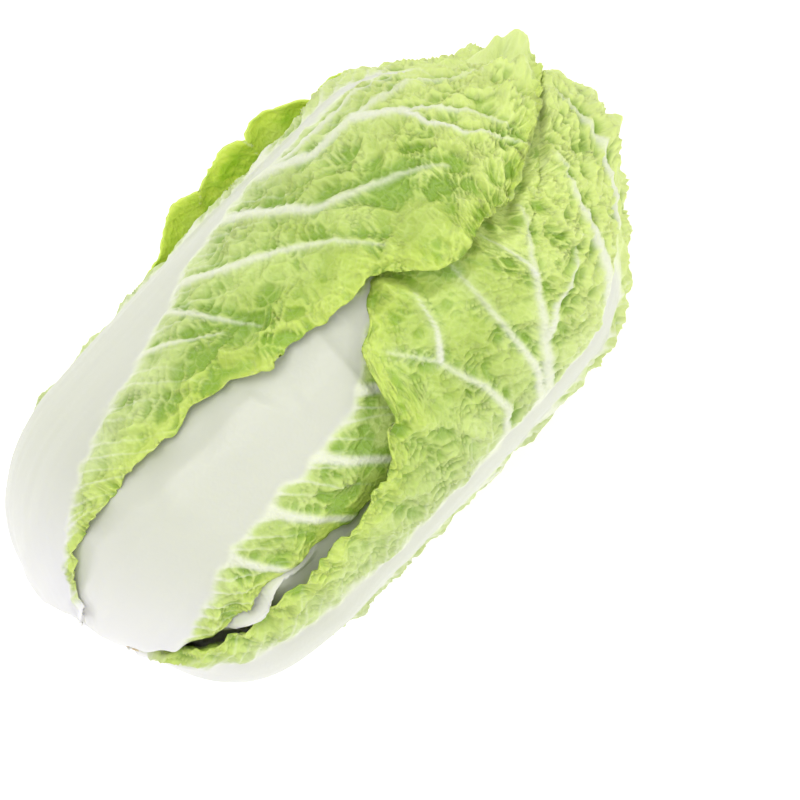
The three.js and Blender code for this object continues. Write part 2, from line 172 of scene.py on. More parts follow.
# %% Leaf tables
# side is the angle from the top to the rib, and end the leaf's length. half and pale hold the half
# widths of the leaf and of its white part [along, left, right]. ruffle and flare say how far the margin
# waves, from calm on, and leans out, within open. haze is how pale the blade is beside the white, and
# green starts past green_from. veined and crisp are parts of the usual veins and relief.
LEAVES = [
    second("second_leaf_under", 174, 0, 378, 5),
    second("second_leaf_low_left", -114, 1, 398, 11),
    second("second_leaf_right", 102, 2, 402, 17),
    second("second_leaf_left", -42, 3, 400, 23),
    second("second_leaf_top", 32, 4, 404, 29),
    dict(name="outer_leaf_top", side=-3, order=5, end=352, seed=3, rib=TOP_RIB, haze=0.2,
         half=[[0, 20, 26], [20, 30, 40], [34, 36, 48], [60, 40, 50], [77, 43, 50], [100, 49, 52],
               [115, 54, 54], [160, 66, 60], [215, 80, 80], [290, 84, 84]],
         pale=[[0, 20, 28], [20, 30, 40], [36, 40, 43], [81, 36, 37], [117, 30, 29], [156, 28, 28],
               [189, 25, 26], [225, 6, 6], [260, 3, 3]]),
    dict(name="outer_leaf_low_right", side=144, order=6, end=352, seed=7,
         half=[[0, 20, 20], [60, 40, 40], [140, 60, 64], [215, 76, 84], [280, 80, 88]]),
    dict(name="outer_leaf_right", side=74, order=7, end=420, seed=13, rib=RIGHT_RIB, flare=3, ruffle=5,
         green_from=24,
         half=[[0, 6, 20], [20, 7, 26], [34, 11, 30], [50, 21, 34], [63, 29, 38], [89, 38, 44],
               [115, 45, 52], [153, 48, 61], [182, 54, 68], [200, 72, 74], [214, 97, 78], [240, 108, 82],
               [310, 100, 86]],
         pale=[[0, 6, 20], [34, 7, 28], [46, 12, 29], [60, 15, 30], [95, 19, 30], [124, 19, 28],
               [156, 14, 24], [226, 12, 16], [250, 11, 12], [275, 13, 9], [300, 17, 7], [345, 8, 4],
               [400, 3, 3]]),
    dict(name="outer_leaf_left", side=-68, order=8, end=370, seed=19, flare=2, ruffle=4.5,
         half=[[0, 20, 22], [30, 27, 41], [60, 37, 51], [92, 46, 62], [125, 55, 67], [168, 67, 70],
               [183, 71, 80], [235, 80, 84], [262, 82, 103], [294, 82, 100], [328, 78, 96]],
         pale=[[0, 20, 22], [40, 25, 41], [79, 30, 49], [107, 30, 46], [140, 28, 37], [165, 24, 27],
               [191, 19, 13], [231, 12, 5], [270, 7, 7], [330, 4, 4]]),
    dict(name="outer_leaf_low_left", side=-144, order=9, end=350, seed=31, flare=9, ruffle=9,
         veined=0, crisp=0.35, open=(160, 288),
         half=[[0, 20, 20], [60, 36, 36], [150, 48, 54], [205, 50, 72], [250, 52, 76], [285, 54, 66]]),
]
USUAL = dict(whorl=1, rib=OUTER_RIB, flare=1, ruffle=3, calm=150, open=(90, 330), haze=0.5, green_from=20,
             veined=1, crisp=1)
for leaf in LEAVES:
    for key, value in USUAL.items():
        leaf.setdefault(key, value)
    leaf.setdefault("pale", [[row[0], row[1], row[1]] for row in leaf["rib"]])
    leaf["closing"] = leaf["half"][-1][0]
print("leaves", len(LEAVES))

# %% Outline and thickness of a leaf
BLADE = 0.95
OUTLINE_WAVE, OUTLINE_TURN = 2.5, 0.17
CALM_ROOT = 60
LEAF_GAP = {1: 1.15, 2: 2.4}


def outline_wave(leaf, s, left):
    """The even wave of the plain outline, which has another phase on each side."""
    return OUTLINE_WAVE * np.sin(s * OUTLINE_TURN + leaf["seed"] + np.where(left, 1, 2))


def half_width(leaf, s, t):
    """Half width of the blade on the side that t lies on. Past the last row of its table the blade
    closes as half an ellipse."""
    left = np.broadcast_to(t < 0, np.broadcast_shapes(np.shape(s), np.shape(t)))
    width = by_side(leaf["half"], s, left) + outline_wave(leaf, s, left) * ramp((s - CALM_ROOT) / CALM_ROOT)
    closing = np.clip((s - leaf["closing"]) / (leaf["end"] - leaf["closing"]), 0, 1)
    return width * np.sqrt(1 - closing * closing)


def past_margin(leaf, s, t):
    """Distance past the margin: negative on the leaf, positive outside it."""
    step = 2
    half = half_width(leaf, s, t)
    slope = (half - half_width(leaf, s - step, t)) / step
    past = (np.abs(t) - half) / np.hypot(1, slope)
    past = np.where(s > leaf["end"], np.hypot(t, s - leaf["end"]), past)
    return np.where(s < 0, np.hypot(np.maximum(0, np.abs(t) - half), s), past)


def plain_thickness(leaf, s, t):
    """The blade, and on it the rib, which is thickest in its middle and fades to both sides."""
    x = np.clip(np.abs(t) / along(leaf["rib"], s, 1), 0, 1)
    return BLADE + along(leaf["rib"], s, 2) * (1 - x * x) ** 1.5


# %% [markdown]
# ## How the leaves lie on each other
#
# A leaf lies on the ones under it, so its height is the sum of what lies beneath it. A covered leaf's
# margin makes a soft step in the leaf above. In the solids that step is 20 mm wide, because their
# triangles are large. Here the grid is fine, so the step takes 14 mm, as in a packed head.

# %% Stacking
STACK_AT_BASE, STACK_AT_TIP = 11, 6
PACKING = 0.72
STEP_START, STEP_END = 3, 17
ROOT_SPREAD = 0.4
FREE_START, FREE_END = 2, 12


def step_of(leaf, place):
    """What one leaf adds to the height of those over it, eased at its margin."""
    s, t = distances_on(leaf["side"], place)
    spread = mix(ROOT_SPREAD, 1, ramp(s / BASE_ARC))
    press = 1 - ramp((past_margin(leaf, s, t) / spread - STEP_START) / (STEP_END - STEP_START))
    return (plain_thickness(leaf, s, t) + LEAF_GAP[leaf["whorl"]]) * press


def inner_face(order, place):
    """Height of a leaf's inner face: the head's outer form, less what presses into the heart, and
    plus all that lies under the leaf."""
    steps = [step_of(leaf, place) for leaf in LEAVES]
    whole = sum(steps)
    under = sum(step for leaf, step in zip(LEAVES, steps) if leaf["order"] < order)
    position = place[0] + BARREL_RADIUS * place[1][..., 0]
    usual = mix(STACK_AT_BASE, STACK_AT_TIP, ramp(position / HEAD_LENGTH))
    return outer_form(place) - mix(usual, whole, PACKING) + under


def exposure(order, place, start, end):
    """1 where nothing lies over the leaf, 0 where another leaf covers it. It changes between the two
    distances past the margin of the leaf above."""
    free = np.ones(place[0].shape)
    for over in LEAVES[order + 1:]:
        s, t = distances_on(over["side"], place)
        free = free * ramp((past_margin(over, s, t) - start) / (end - start))
    return free


# %% [markdown]
# ## Veins
#
# Each side of the rib sends out a few thick white veins, which fork towards the margin. Between them
# run thin side veins every 8 mm at 45 degrees, and short twigs leave the thick veins on both sides.
# The thick veins of the two leaves that fill the view are drawn as places along and across the
# leaf. Those of the others, all side veins and the twigs follow a rule with a seeded draw.

# %% Drawn veins: width, then places from the rib to the margin [along, across]
DRAWN_VEINS = {
    "outer_leaf_left": [
        [3.6, [228, 0], [240, 12], [256, 24], [272, 27], [291, 27], [312, 22], [340, 24]],
        [3.2, [200, -2], [211, 9], [224, 27], [238, 45], [254, 54], [276, 65], [300, 73]],
        [2.4, [278, 27], [287, 36], [300, 41], [330, 51], [348, 58]],
        [1.7, [296, 40], [302, 52], [317, 61], [337, 65], [360, 66]],
        [2.3, [166, 8], [180, 18], [199, 36], [217, 48], [236, 64], [248, 80]],
        [2.1, [160, 16], [172, 27], [181, 45], [192, 66]],
        [1.7, [143, 20], [156, 34], [168, 44], [180, 55]],
        [1.8, [236, 8], [262, 16], [290, 15], [318, 10]],
        [3.0, [226, -2], [244, -16], [268, -30], [300, -44], [340, -52]],
        [2.6, [190, -12], [208, -26], [228, -44], [250, -62]],
    ],
    "outer_leaf_right": [
        [3.4, [244, -6], [254, -20], [262, -36], [276, -57], [294, -72], [322, -82]],
        [2.4, [246, -14], [254, -30], [256, -44], [258, -70], [260, -92]],
        [2.6, [214, -8], [228, -18], [235, -31], [235, -46], [229, -70], [218, -88]],
        [3.8, [296, -18], [314, -32], [328, -46], [341, -56], [358, -62]],
        [1.7, [284, -64], [287, -70], [284, -92]],
        [1.7, [266, -40], [278, -47], [299, -47], [316, -50]],
        [1.5, [230, -70], [238, -80], [242, -96]],
        [2.6, [330, -12], [352, -24], [376, -30], [398, -30]],
        [3.0, [236, 4], [254, 20], [276, 38], [304, 52]],
        [2.4, [196, 10], [212, 26], [228, 46], [246, 64]],
    ],
}

# %% [markdown]
# The veins of the other leaves leave the rib at the roots given, and lean the more the nearer they are
# to the tip. A vein is a line of places with a width, so all of them, drawn or ruled, go through the
# same function, which turns lines into a field: 1 on a vein and 0 away from it.

# %% Veins by rule
MAIN_ROOTS = [[112, 0.35], [140, 0.5], [168, 0.7], [198, 1], [232, 1.6], [268, 2.6]]
MAIN_REACH, MAIN_BEND = 96, 0.0016
SIDE_START, SIDE_STOP, SIDE_SPACING = 26, 300, 7.8
SIDE_UNDER_WHITE = 5
TWIG_SPACING, TWIG_LENGTH, TWIG_WIDTH = 7.5, 14, 1.5
VEIN_CORE, THINNEST = 0.62, 0.9


def ruled_mains(leaf):
    """Thick veins of a leaf by rule: they leave the rib every few centimetres, more steeply near the
    tip, and bend towards the tip on their way to the margin."""
    veins = []
    for side in (-1, 1):
        for k, (root, slope) in enumerate(MAIN_ROOTS):
            start = root + (9 if side < 0 else -5) + 4 * np.sin(leaf["seed"] + k)
            across = np.linspace(0.6 * along(leaf["rib"], np.array(start), 1), MAIN_REACH, 9)
            gone = across - across[0]
            s = start + slope * gone + MAIN_BEND * gone ** 2
            veins.append([3.0 - 0.2 * k] + [[a, side * b] for a, b in zip(s, across)])
    return veins


def side_veins(leaf, rng):
    """Side veins straight from the rib, about 8 mm apart, at 45 degrees."""
    veins = []
    for side in (-1, 1):
        for start in np.arange(SIDE_START, SIDE_STOP, SIDE_SPACING):
            root = start + rng.uniform(-1.2, 1.2)
            inner = along(leaf["pale"], np.array(root), 1 if side < 0 else 2) - SIDE_UNDER_WHITE
            reach = rng.uniform(16, 46)
            gone = np.linspace(0, reach, 6)
            bend = rng.uniform(-0.004, 0.008)
            sway = 0.6 * np.sin(gone * 0.3 + rng.uniform(0, 6))
            s = root + gone * rng.uniform(0.8, 1.05) + bend * gone ** 2 + sway
            veins.append([rng.uniform(1.0, 1.7)] + [[a, side * (inner + b)] for a, b in zip(s, gone)])
    return veins


def twigs(veins, rng):
    """Twigs on both sides of each vein in turn, at 50 to 65 degrees to it."""
    found = []
    for vein in veins:
        points = np.array(vein[1:], float)
        steps = np.diff(points, axis=0)
        gone = np.concatenate([[0], np.cumsum(np.hypot(steps[:, 0], steps[:, 1]))])
        for k, at in enumerate(np.arange(rng.uniform(2, TWIG_SPACING), gone[-1], TWIG_SPACING)):
            at = min(gone[-1] - 0.1, at + rng.uniform(-0.25, 0.25) * TWIG_SPACING)
            piece = np.searchsorted(gone, at) - 1
            start = points[piece] + steps[piece] * (at - gone[piece]) / (gone[piece + 1] - gone[piece])
            heading = np.arctan2(steps[piece, 1], steps[piece, 0])
            angle = heading + np.radians(rng.uniform(50, 65)) * (1 if k % 2 else -1)
            size = TWIG_LENGTH * rng.uniform(0.6, 1.3)
            along_twig = np.linspace(0, size, 4)
            curve = angle - np.sign(angle - heading) * 0.5 * along_twig / size
            places = start + along_twig[:, None] * np.stack([np.cos(curve), np.sin(curve)], axis=1)
            found.append([TWIG_WIDTH * rng.uniform(0.8, 1.2)] + places.tolist())
    return found


# %% From lines to a field
def widened(veins, factor):
    """The same veins, wider by a factor."""
    return [[factor * vein[0]] + vein[1:] for vein in veins]


def away_from(start, step, s, t):
    """Distance of each place from the line from start to start + step, and how far along it that is."""
    ps, pt = s - start[0], t - start[1]
    f = np.clip((ps * step[0] + pt * step[1]) / (step @ step), 0, 1)
    return np.hypot(ps - f * step[0], pt - f * step[1]), f


def vein_field(s, t, veins, fade):
    """1 on a vein and 0 away from it. Around each vein the field is a bell as wide as the vein, and
    the width tapers to the part fade at the vein's end."""
    field = np.zeros(s.shape)
    for vein in veins:
        points = np.array(vein[1:], float)
        near = 2 * vein[0] + 2
        low, high = points.min(0) - near, points.max(0) + near
        spot = (s > low[0]) & (s < high[0]) & (t > low[1]) & (t < high[1])
        if not spot.any():
            continue
        best = np.zeros(spot.sum())
        count = len(points) - 1
        for k in range(count):
            away, f = away_from(points[k], points[k + 1] - points[k], s[spot], t[spot])
            taper = mix(1, fade, (k + f) / count)
            half = np.maximum(VEIN_CORE * vein[0] * taper, THINNEST)
            best = np.maximum(best, taper * np.exp(-(away / half) ** 2))
        field[spot] = np.maximum(field[spot], best)
    return field


# %% [markdown]
# Two patterns make the blade uneven. Cells with sharp borders give pits between ridges, and a sum of
# seeded waves gives slow swells. Both work in millimetres on the leaf's map, so their scale is real.

# %% Patterns
def cells(x, y, seed):
    """Distance to the border of irregular cells about 1 wide, 0 on the border. Each square of a grid
    holds one seeded point, and the border is where the two nearest points are equally far."""
    rng = np.random.default_rng(seed)
    jitter = rng.uniform(0.1, 0.9, (64, 64, 2))
    x, y = x + 100, y + 100
    first = np.full(x.shape, 9.0)
    second_best = np.full(x.shape, 9.0)
    for dx in (-1, 0, 1):
        for dy in (-1, 0, 1):
            column, row = np.floor(x).astype(int) + dx, np.floor(y).astype(int) + dy
            point = jitter[column % 64, row % 64]
            away = np.hypot(column + point[..., 0] - x, row + point[..., 1] - y)
            second_best = np.minimum(second_best, np.maximum(first, away))
            first = np.minimum(first, away)
    return second_best - first


WAVES = 9


def soft_noise(s, t, size, seed):
    """Smooth noise from about -1 to 1, as a sum of seeded waves whose lengths lie round size."""
    rng = np.random.default_rng(seed)
    total = np.zeros(s.shape)
    for _ in range(WAVES):
        turn, phase = rng.uniform(0, 2 * np.pi, 2)
        length = size * rng.uniform(0.7, 1.6)
        total = total + np.sin((s * np.cos(turn) + t * np.sin(turn)) * 2 * np.pi / length + phase)
    return total / (WAVES / 2)


# %% [markdown]
# ## Relief of one leaf
#
# The rib is smooth. Seen from outside, the blade sinks in between its veins: narrow pits lie in rows
# across the thick veins, and slower crumples run over them. The margin is longer than the leaf has
# room for, so it throws rounded waves, and in places it curls back over itself into a fat lobe.

# %% Places that stand out on the real leaves
# Lobes that curl back: side of the rib, distance along, half length, and the width that curls
LOBES = {
    "outer_leaf_left": [[1, 300, 10, 7], [1, 330, 12, 9]],
    "outer_leaf_right": [[-1, 198, 11, 5], [-1, 232, 13, 5], [-1, 290, 12, 6]],
}
# Crests, where the leaf stands up: distance along and across, their two half lengths, and the height.
# Those at the foot shape the shoulders of the top and right leaf, and a negative one sinks in
CRESTS = {
    "outer_leaf_left": [[358, -2, 13, 5, 14], [354, 22, 10, 5, 7], [350, -20, 12, 6, 6], [346, 44, 11, 6, 7],
                        [340, -46, 14, 8, 5], [260, 94, 12, 9, 6], [184, 73, 12, 8, 5], [214, 74, 9, 7, 3],
                        [318, 90, 11, 11, 5], [292, 92, 10, 8, 4]],
    "outer_leaf_top": [[42, 38, 20, 15, 5]],
    "outer_leaf_right": [[70, 8, 26, 26, 7.5], [26, -6, 15, 16, -5], [205, -66, 14, 12, 4],
                         [250, -98, 18, 10, 4], [300, -84, 22, 12, 4], [352, -60, 18, 12, 5],
                         [386, 14, 12, 8, 6], [372, -20, 12, 8, 5], [376, 44, 12, 9, 5]],
}
# Valleys, where the blade sinks and a painted shade makes its green deepest: like the crests, with a depth
SHADED_VALLEYS = {
    "outer_leaf_left": [[262, 60, 14, 9, 1.0], [272, 68, 14, 7, 1.2], [290, 80, 12, 6, 1.3],
                        [298, 55, 12, 8, 0.7], [328, 11, 13, 6, 1.0], [333, 37, 13, 6, 1.2],
                        [343, 62, 12, 6, 1.2], [178, 58, 10, 6, 1.2], [192, 61, 9, 6, 1.0]],
    "outer_leaf_right": [[257, -101, 14, 8, 1.3], [337, -58, 16, 5, 1.2], [215, -49, 14, 9, 1.0],
                         [207, -73, 9, 7, 1.0], [367, -34, 15, 6, 1.0]],
    "outer_leaf_top": [[189, 26, 14, 8, 1.0], [184, 42, 13, 10, 1.1], [166, 35, 8, 8, 0.6],
                       [153, 58, 12, 8, 0.6], [131, 47, 10, 8, 0.7]],
}
# Pleats: height, reach, raised side of the line, and the line's places [along, across]
FOLDS = {
    "outer_leaf_right": [
        [3.4, 13, -1, [350, -82], [334, -74], [319, -63], [304, -44]],
        [2.6, 11, -1, [203, -62], [211, -50], [216, -36], [222, -18]],
        [1.8, 10, 1, [262, -96], [270, -78], [282, -66]],
        [2.4, 9, 1, [318, -34], [340, -40], [366, -40]],
        [2.0, 8, -1, [336, -16], [360, -22], [388, -20]],
    ],
    "outer_leaf_left": [
        [3.2, 13, -1, [268, 48], [292, 58], [310, 70], [322, 84]],
        [2.4, 12, 1, [238, 84], [248, 80], [262, 78], [276, 82], [284, 90]],
        [2.6, 10, 1, [168, 66], [174, 60], [186, 58], [198, 64]],
        [2.0, 9, -1, [120, 48], [128, 54], [134, 60]],
        [2.4, 9, 1, [236, 46], [252, 60], [262, 76]],
        [3.0, 9, -1, [322, 36], [338, 42], [352, 46]],
        [2.6, 8, 1, [316, 62], [334, 62], [350, 60]],
        [2.4, 9, 1, [318, 12], [336, 14], [352, 12]],
    ],
    "outer_leaf_top": [
        [1.4, 7, 1, [120, 34], [134, 42], [142, 52]],
        [1.2, 7, -1, [150, 34], [164, 42], [176, 52]],
    ],
}


# %% [markdown]
# A lobe or a crest is a bell: one function gives its height from its middle and its two half lengths.
# Waves of the margin come from the absolute value of a sine, which is round on top and sharp between,
# like the frill of a real leaf. A strip that curls back is rolled up on a circle.

# %% Margins
RUFFLE_LENGTH, RUFFLE_ROUNDNESS = 30, 0.7
RUFFLE_BAND, FRILL_BAND = 26, 12
RUFFLE_GROWTH, LEAN_EASE = 80, 50
FRILL_HEIGHT, FRILL_SIZE = 1.1, 8
TIP_CALM, TIP_CALM_BAND = 440, 110
EVEN_TAKEN_BACK = 0.9
# Notches of the margin: depth and length
NOTCHES = [[1.5, 27, 7], [0.9, 9, 8], [0.5, 4, 11]]
CREST_NOISE, CREST_NOISE_SIZE = 0.4, 9
CURL = 0.8 * np.pi


def lobe_width(leaf, s, t):
    """Width of the strip along the margin that curls back: a bell round each lobe's middle."""
    width = np.zeros(s.shape)
    for side, middle, length, curled in LOBES.get(leaf["name"], []):
        bell = np.exp(-((s - middle) / length) ** 2) * (np.sign(t) == side)
        width = np.maximum(width, curled * bell)
    return width


def bells(places, s, t):
    """Sum of round bells, one at each place: along, across, two half lengths and the height."""
    height = np.zeros(s.shape)
    for middle_s, middle_t, half_s, half_t, top in places:
        height += top * np.exp(-((s - middle_s) / half_s) ** 2 - ((t - middle_t) / half_t) ** 2)
    return height


def crests(leaf, s, t):
    """Where the leaf stands up, with an uneven top on the blade and a smooth one at the base."""
    noise = soft_noise(s, t, CREST_NOISE_SIZE, leaf["seed"] + 12)
    uneven = CREST_NOISE * noise * ramp((s - 110) / 40)
    return bells(CRESTS.get(leaf["name"], []), s, t) * (1 + uneven)


def margin_lift(leaf, s, t, inside):
    """Rounded waves that grow towards the margin, unevenly, and the margin's lean away from the head."""
    near = 1 - np.clip(inside / RUFFLE_BAND, 0, 1)
    edge = 1 - np.clip(inside / FRILL_BAND, 0, 1)
    start, stop = leaf["open"]
    lean = ramp((s - start) / LEAN_EASE) * ramp((stop - s) / LEAN_EASE)
    grown = ramp((s - leaf["calm"]) / RUFFLE_GROWTH) * ramp((TIP_CALM - s) / TIP_CALM_BAND)
    uneven = soft_noise(s, t, 50, leaf["seed"] + 5)
    position = s + np.where(s > leaf["closing"], 0.9 * np.abs(t), 0) + 9 * uneven
    wave = np.abs(np.sin(position * np.pi / RUFFLE_LENGTH + leaf["seed"] + np.where(t < 0, 0.8, 0)))
    wave = wave ** RUFFLE_ROUNDNESS * (0.7 + 0.6 * uneven)
    small = soft_noise(s, 0.6 * t, FRILL_SIZE, leaf["seed"] + 6)
    lift = grown * leaf["ruffle"] * wave * near ** 1.5 + lean * leaf["flare"] * near * near
    return lift + grown * FRILL_HEIGHT * leaf["crisp"] * small * edge


def margin_crinkle(leaf, s, t):
    """How far the margin is drawn out or notched. It takes back the even wave of the plain outline,
    and adds uneven notches and the width that a curling lobe uses up."""
    notch = sum(depth * soft_noise(s, 0 * t, size, leaf["seed"] + draw) for depth, size, draw in NOTCHES)
    uneven = notch - EVEN_TAKEN_BACK * outline_wave(leaf, s, t < 0)
    return uneven * ramp((s - CALM_ROOT) / CALM_ROOT) + (1 - 1 / CURL) * lobe_width(leaf, s, t)


def curl_back(leaf, s, t, inside):
    """Shift across and rise of a strip that curls up and back, round a circle of its own radius."""
    width = lobe_width(leaf, s, t)
    gone = np.clip(width - inside, 0, width)
    radius = width / CURL + 0.01
    return np.sign(t) * (gone - radius * np.sin(gone / radius)), radius * (1 - np.cos(gone / radius))


# %% Pleats
PLEAT_EDGE, PLEAT_DIP, PLEAT_DIP_REACH = 1.6, 0.45, 0.5


def fold_height(leaf, s, t):
    """Pleats, where the blade laps over itself: a step up on one side of a line, which dies away from
    it within the reach given, and a shallow dip on the other side."""
    height = np.zeros(s.shape)
    for step_up, reach, side, *line in FOLDS.get(leaf["name"], []):
        points = np.array(line, float)
        best, signed, ends = np.full(s.shape, 1e9), np.zeros(s.shape), np.zeros(s.shape)
        for k in range(len(points) - 1):
            step = points[k + 1] - points[k]
            away, f = away_from(points[k], step, s, t)
            turn = np.sign(step[0] * (t - points[k, 1]) - step[1] * (s - points[k, 0]))
            part = (k + f) / (len(points) - 1)
            closer = away < best
            signed = np.where(closer, turn * side * away, signed)
            ends = np.where(closer, ramp(part * 4) * ramp((1 - part) * 4), ends)
            best = np.minimum(best, away)
        rise = ramp(signed / PLEAT_EDGE + 0.5) * np.exp(-np.maximum(signed, 0) / reach)
        dip = ramp(0.5 - signed / PLEAT_EDGE) * np.exp(np.minimum(signed, 0) / (PLEAT_DIP_REACH * reach))
        height = height + step_up * ends * (rise - PLEAT_DIP * dip)
    return height


# %% [markdown]
# The fields of a leaf are numbers over its map, most of them from 0 to 1: white, blade, veins, pits,
# crumples. They are worked out once, and both the relief and the colours read them. So a pit is deep
# and painted darker green at the same place, as painted shade, and swells and raised folds are painted
# lighter.

# %% Fields of a leaf
PIT_LENGTH, PIT_WIDTH, PIT_BORDER = 8.5, 4.0, 0.45
PIT_WARP, PIT_WARP_SIZE = 3.0, 15
VEIN_SLOPE = np.radians(44)
# The green starts this far before the pale edge, and white and blade blend over these widths
PALE_EDGE, WHITE_BAND, BLADE_BAND = 4, 9, 11
PALE_WANDER, PALE_WANDER_SIZE = 1.6, 14
ROOT_WHITE_BAND, WHITE_END, WHITE_END_BAND = 22, 300, 40
HAZE_REACH = 20
MAIN_WIDENING, BED_WIDENING, CREASE_WIDENING = 1.9, 4, 1.8
CREASE_SHIFT = 2.6, 2.2
SWELL_SIZE, ROUGH_SIZE = 16, 34
LOOSE_START, LOOSE_BAND, LOOSE_MARGIN = 180, 120, 30


def pits(leaf, s, t):
    """0 on the ridges and 1 in the pits: long cells that lie across the direction of the thick veins."""
    warp_s = s + PIT_WARP * soft_noise(s, t, PIT_WARP_SIZE, leaf["seed"] + 2)
    warp_t = np.abs(t) + PIT_WARP * soft_noise(s, t, PIT_WARP_SIZE, leaf["seed"] + 3)
    lengthwise = warp_s * np.cos(VEIN_SLOPE) + warp_t * np.sin(VEIN_SLOPE)
    crosswise = warp_s * np.sin(VEIN_SLOPE) - warp_t * np.cos(VEIN_SLOPE) + np.where(t < 0, 400, 0)
    return ramp(cells(lengthwise / PIT_WIDTH, crosswise / PIT_LENGTH, leaf["seed"]) / PIT_BORDER)


def whiteness(leaf, s, t):
    """Distance past the edge of the white part, and how white the leaf is. The edge is ragged, all of
    the root is white, and near the tip no white is left."""
    ragged = PALE_WANDER * soft_noise(s, t, PALE_WANDER_SIZE, leaf["seed"] + 1)
    past_pale = np.abs(t) - by_side(leaf["pale"], s, t < 0) + ragged
    white = 1 - ramp((past_pale + PALE_EDGE) / WHITE_BAND)
    root = 1 - ramp((s - leaf["green_from"]) / ROOT_WHITE_BAND)
    return past_pale, np.maximum(white, root) * (1 - ramp((s - WHITE_END) / WHITE_END_BAND))


def vein_fields(leaf, s, t, twigged):
    """Thick veins, the wide pale bed round them, a creased strip on one side of each, also used by the
    colours as painted shadow, side veins and twigs.
    """
    rng = np.random.default_rng(leaf["seed"])
    mains = DRAWN_VEINS.get(leaf["name"]) or ruled_mains(leaf)
    laterals = side_veins(leaf, rng)
    main = vein_field(s, t, widened(mains, MAIN_WIDENING), 0.4)
    # The crease is shifted to one side of each thick vein, where its painted shadow falls in the colour
    shifted = s - CREASE_SHIFT[0], t + CREASE_SHIFT[1] * np.sign(t)
    shadowed_crease = vein_field(*shifted, widened(mains, CREASE_WIDENING), 0.5) - 1.5 * main
    small = twigs(mains, rng) if twigged else []
    return dict(
        bed=vein_field(s, t, widened(mains, BED_WIDENING), 0.5),
        shadowed_crease=np.clip(shadowed_crease, 0, 1),
        main=main * leaf["veined"],
        side=vein_field(s, t, laterals, 0.3) * leaf["veined"],
        twig=vein_field(s, t, small, 0.4) * leaf["veined"],
    )


def leaf_fields(leaf, s, t, inside, twigged):
    """Everything that the relief and the colours of a leaf need, as fields over its map."""
    seed = leaf["seed"]
    past_pale, white = whiteness(leaf, s, t)
    fields = vein_fields(leaf, s, t, twigged)
    haze = np.maximum(np.exp(-np.maximum(past_pale, 0) / HAZE_REACH), 0.7 * fields["bed"])
    slack = np.maximum(ramp((s - LOOSE_START) / LOOSE_BAND), 1 - np.clip(inside / LOOSE_MARGIN, 0, 1))
    fields.update(
        white=white,
        blade=ramp((past_pale + PALE_EDGE) / BLADE_BAND),
        haze=leaf["haze"] * haze,
        pit=pits(leaf, s, t),
        swell=soft_noise(s, t, SWELL_SIZE, seed + 4),
        crumple=1 - 2.4 * np.abs(soft_noise(0.6 * s, t, SWELL_SIZE, seed + 9)),
        rough=0.95 + 0.5 * soft_noise(s, t, ROUGH_SIZE, seed + 13),
        fold=fold_height(leaf, s, t),
        valley=bells(SHADED_VALLEYS.get(leaf["name"], []), s, t),
        inside=inside,
        loose=0.35 + 0.65 * slack,
    )
    return fields


# %% Relief of the blade
MAIN_HEIGHT, SIDE_HEIGHT, TWIG_HEIGHT = 1.8, 1.0, 0.5
PIT_DEPTH, CREASE_DEPTH, VALLEY_DEPTH, SWELL, CRUMPLE = 1.9, 1.0, 0.6, 1.2, 1.9
PIT_MIDDLE = 0.55
# The blade swells by the first number, and no pit goes deeper than the second, which would meet the
# leaf underneath
BLADE_RISE, DEEPEST = 1.5, -0.45


def relief(fields):
    """Height of the outer side over the plain leaf: veins up, pits down, and slow crumples."""
    vein = np.maximum(fields["main"], 0.7 * fields["side"])
    ridge = MAIN_HEIGHT * fields["main"] + SIDE_HEIGHT * fields["side"] * (1 - fields["main"])
    ridge = ridge + TWIG_HEIGHT * fields["twig"] * (1 - vein)
    between = (1 - vein) * (1 - 0.5 * fields["twig"]) * fields["rough"]
    hollow = PIT_DEPTH * (PIT_MIDDLE - fields["pit"]) * between
    hollow = hollow - CREASE_DEPTH * fields["shadowed_crease"] - VALLEY_DEPTH * fields["valley"]
    slow = SWELL * fields["swell"] + CRUMPLE * fields["crumple"] * fields["loose"]
    slow = slow * (1 - 0.7 * fields["bed"])
    height = fields["blade"] * (BLADE_RISE + ridge + hollow + slow) + fields["fold"]
    return np.maximum(height, DEEPEST)


# %% [markdown]
# ## From fields to a mesh
#
# The outer side takes the fine grid. The inner side has half as many steps each way, because hardly
# any of it shows, and one face with five corners joins two fine steps of the margin to a coarse one.
# So the leaf is closed, and stays well below the limit of triangles for one piece.

# %% Frame origin, and the last step from millimetres to metres
STEM_LENGTH = 40
STEM_EDGE = 1.5
stem_low, stem_high = (np.array(corner) * 1000 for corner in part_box("stem"))
CUT_FACE = BASE_CENTRE - (BARREL_RADIUS - BASE_TIGHTENING) * np.cos(BUTT_ANGLE)
STEM_SLOPE = np.tan(BUTT_ANGLE - ROOT_CLEARANCE)


def leaned(points):
    """The lean of the base moves a point along the head, by the part BASE_LEAN of its distance across."""
    lean = BASE_LEAN * (1 - ramp((points[..., 0] - LEAN_START) / (LEAN_END - LEAN_START)))
    moved = points.copy()
    moved[..., 0] -= lean * points[..., 1]
    return moved


def stem_rings():
    """Profile of the stem as rows of distance along and radius, from the cut to the inner end."""
    inner = CUT_FACE + STEM_LENGTH - 4
    return np.array([
        [CUT_FACE, (BASE_CENTRE - CUT_FACE) * STEM_SLOPE - STEM_EDGE],
        [CUT_FACE + STEM_EDGE, (BASE_CENTRE - CUT_FACE - STEM_EDGE) * STEM_SLOPE],
        [inner, (BASE_CENTRE - inner) * STEM_SLOPE],
    ])


def lathe_points(profile, sides):
    """Rings round the head's axis: radius r at distance x along becomes x, -r sin a, r cos a."""
    a = np.linspace(0, 2 * np.pi, sides, endpoint=False)
    x, r = profile[:, :1] + 0 * a, profile[:, 1:] + 0 * a
    return np.stack([x, -r * np.sin(a), r * np.cos(a)], axis=-1)


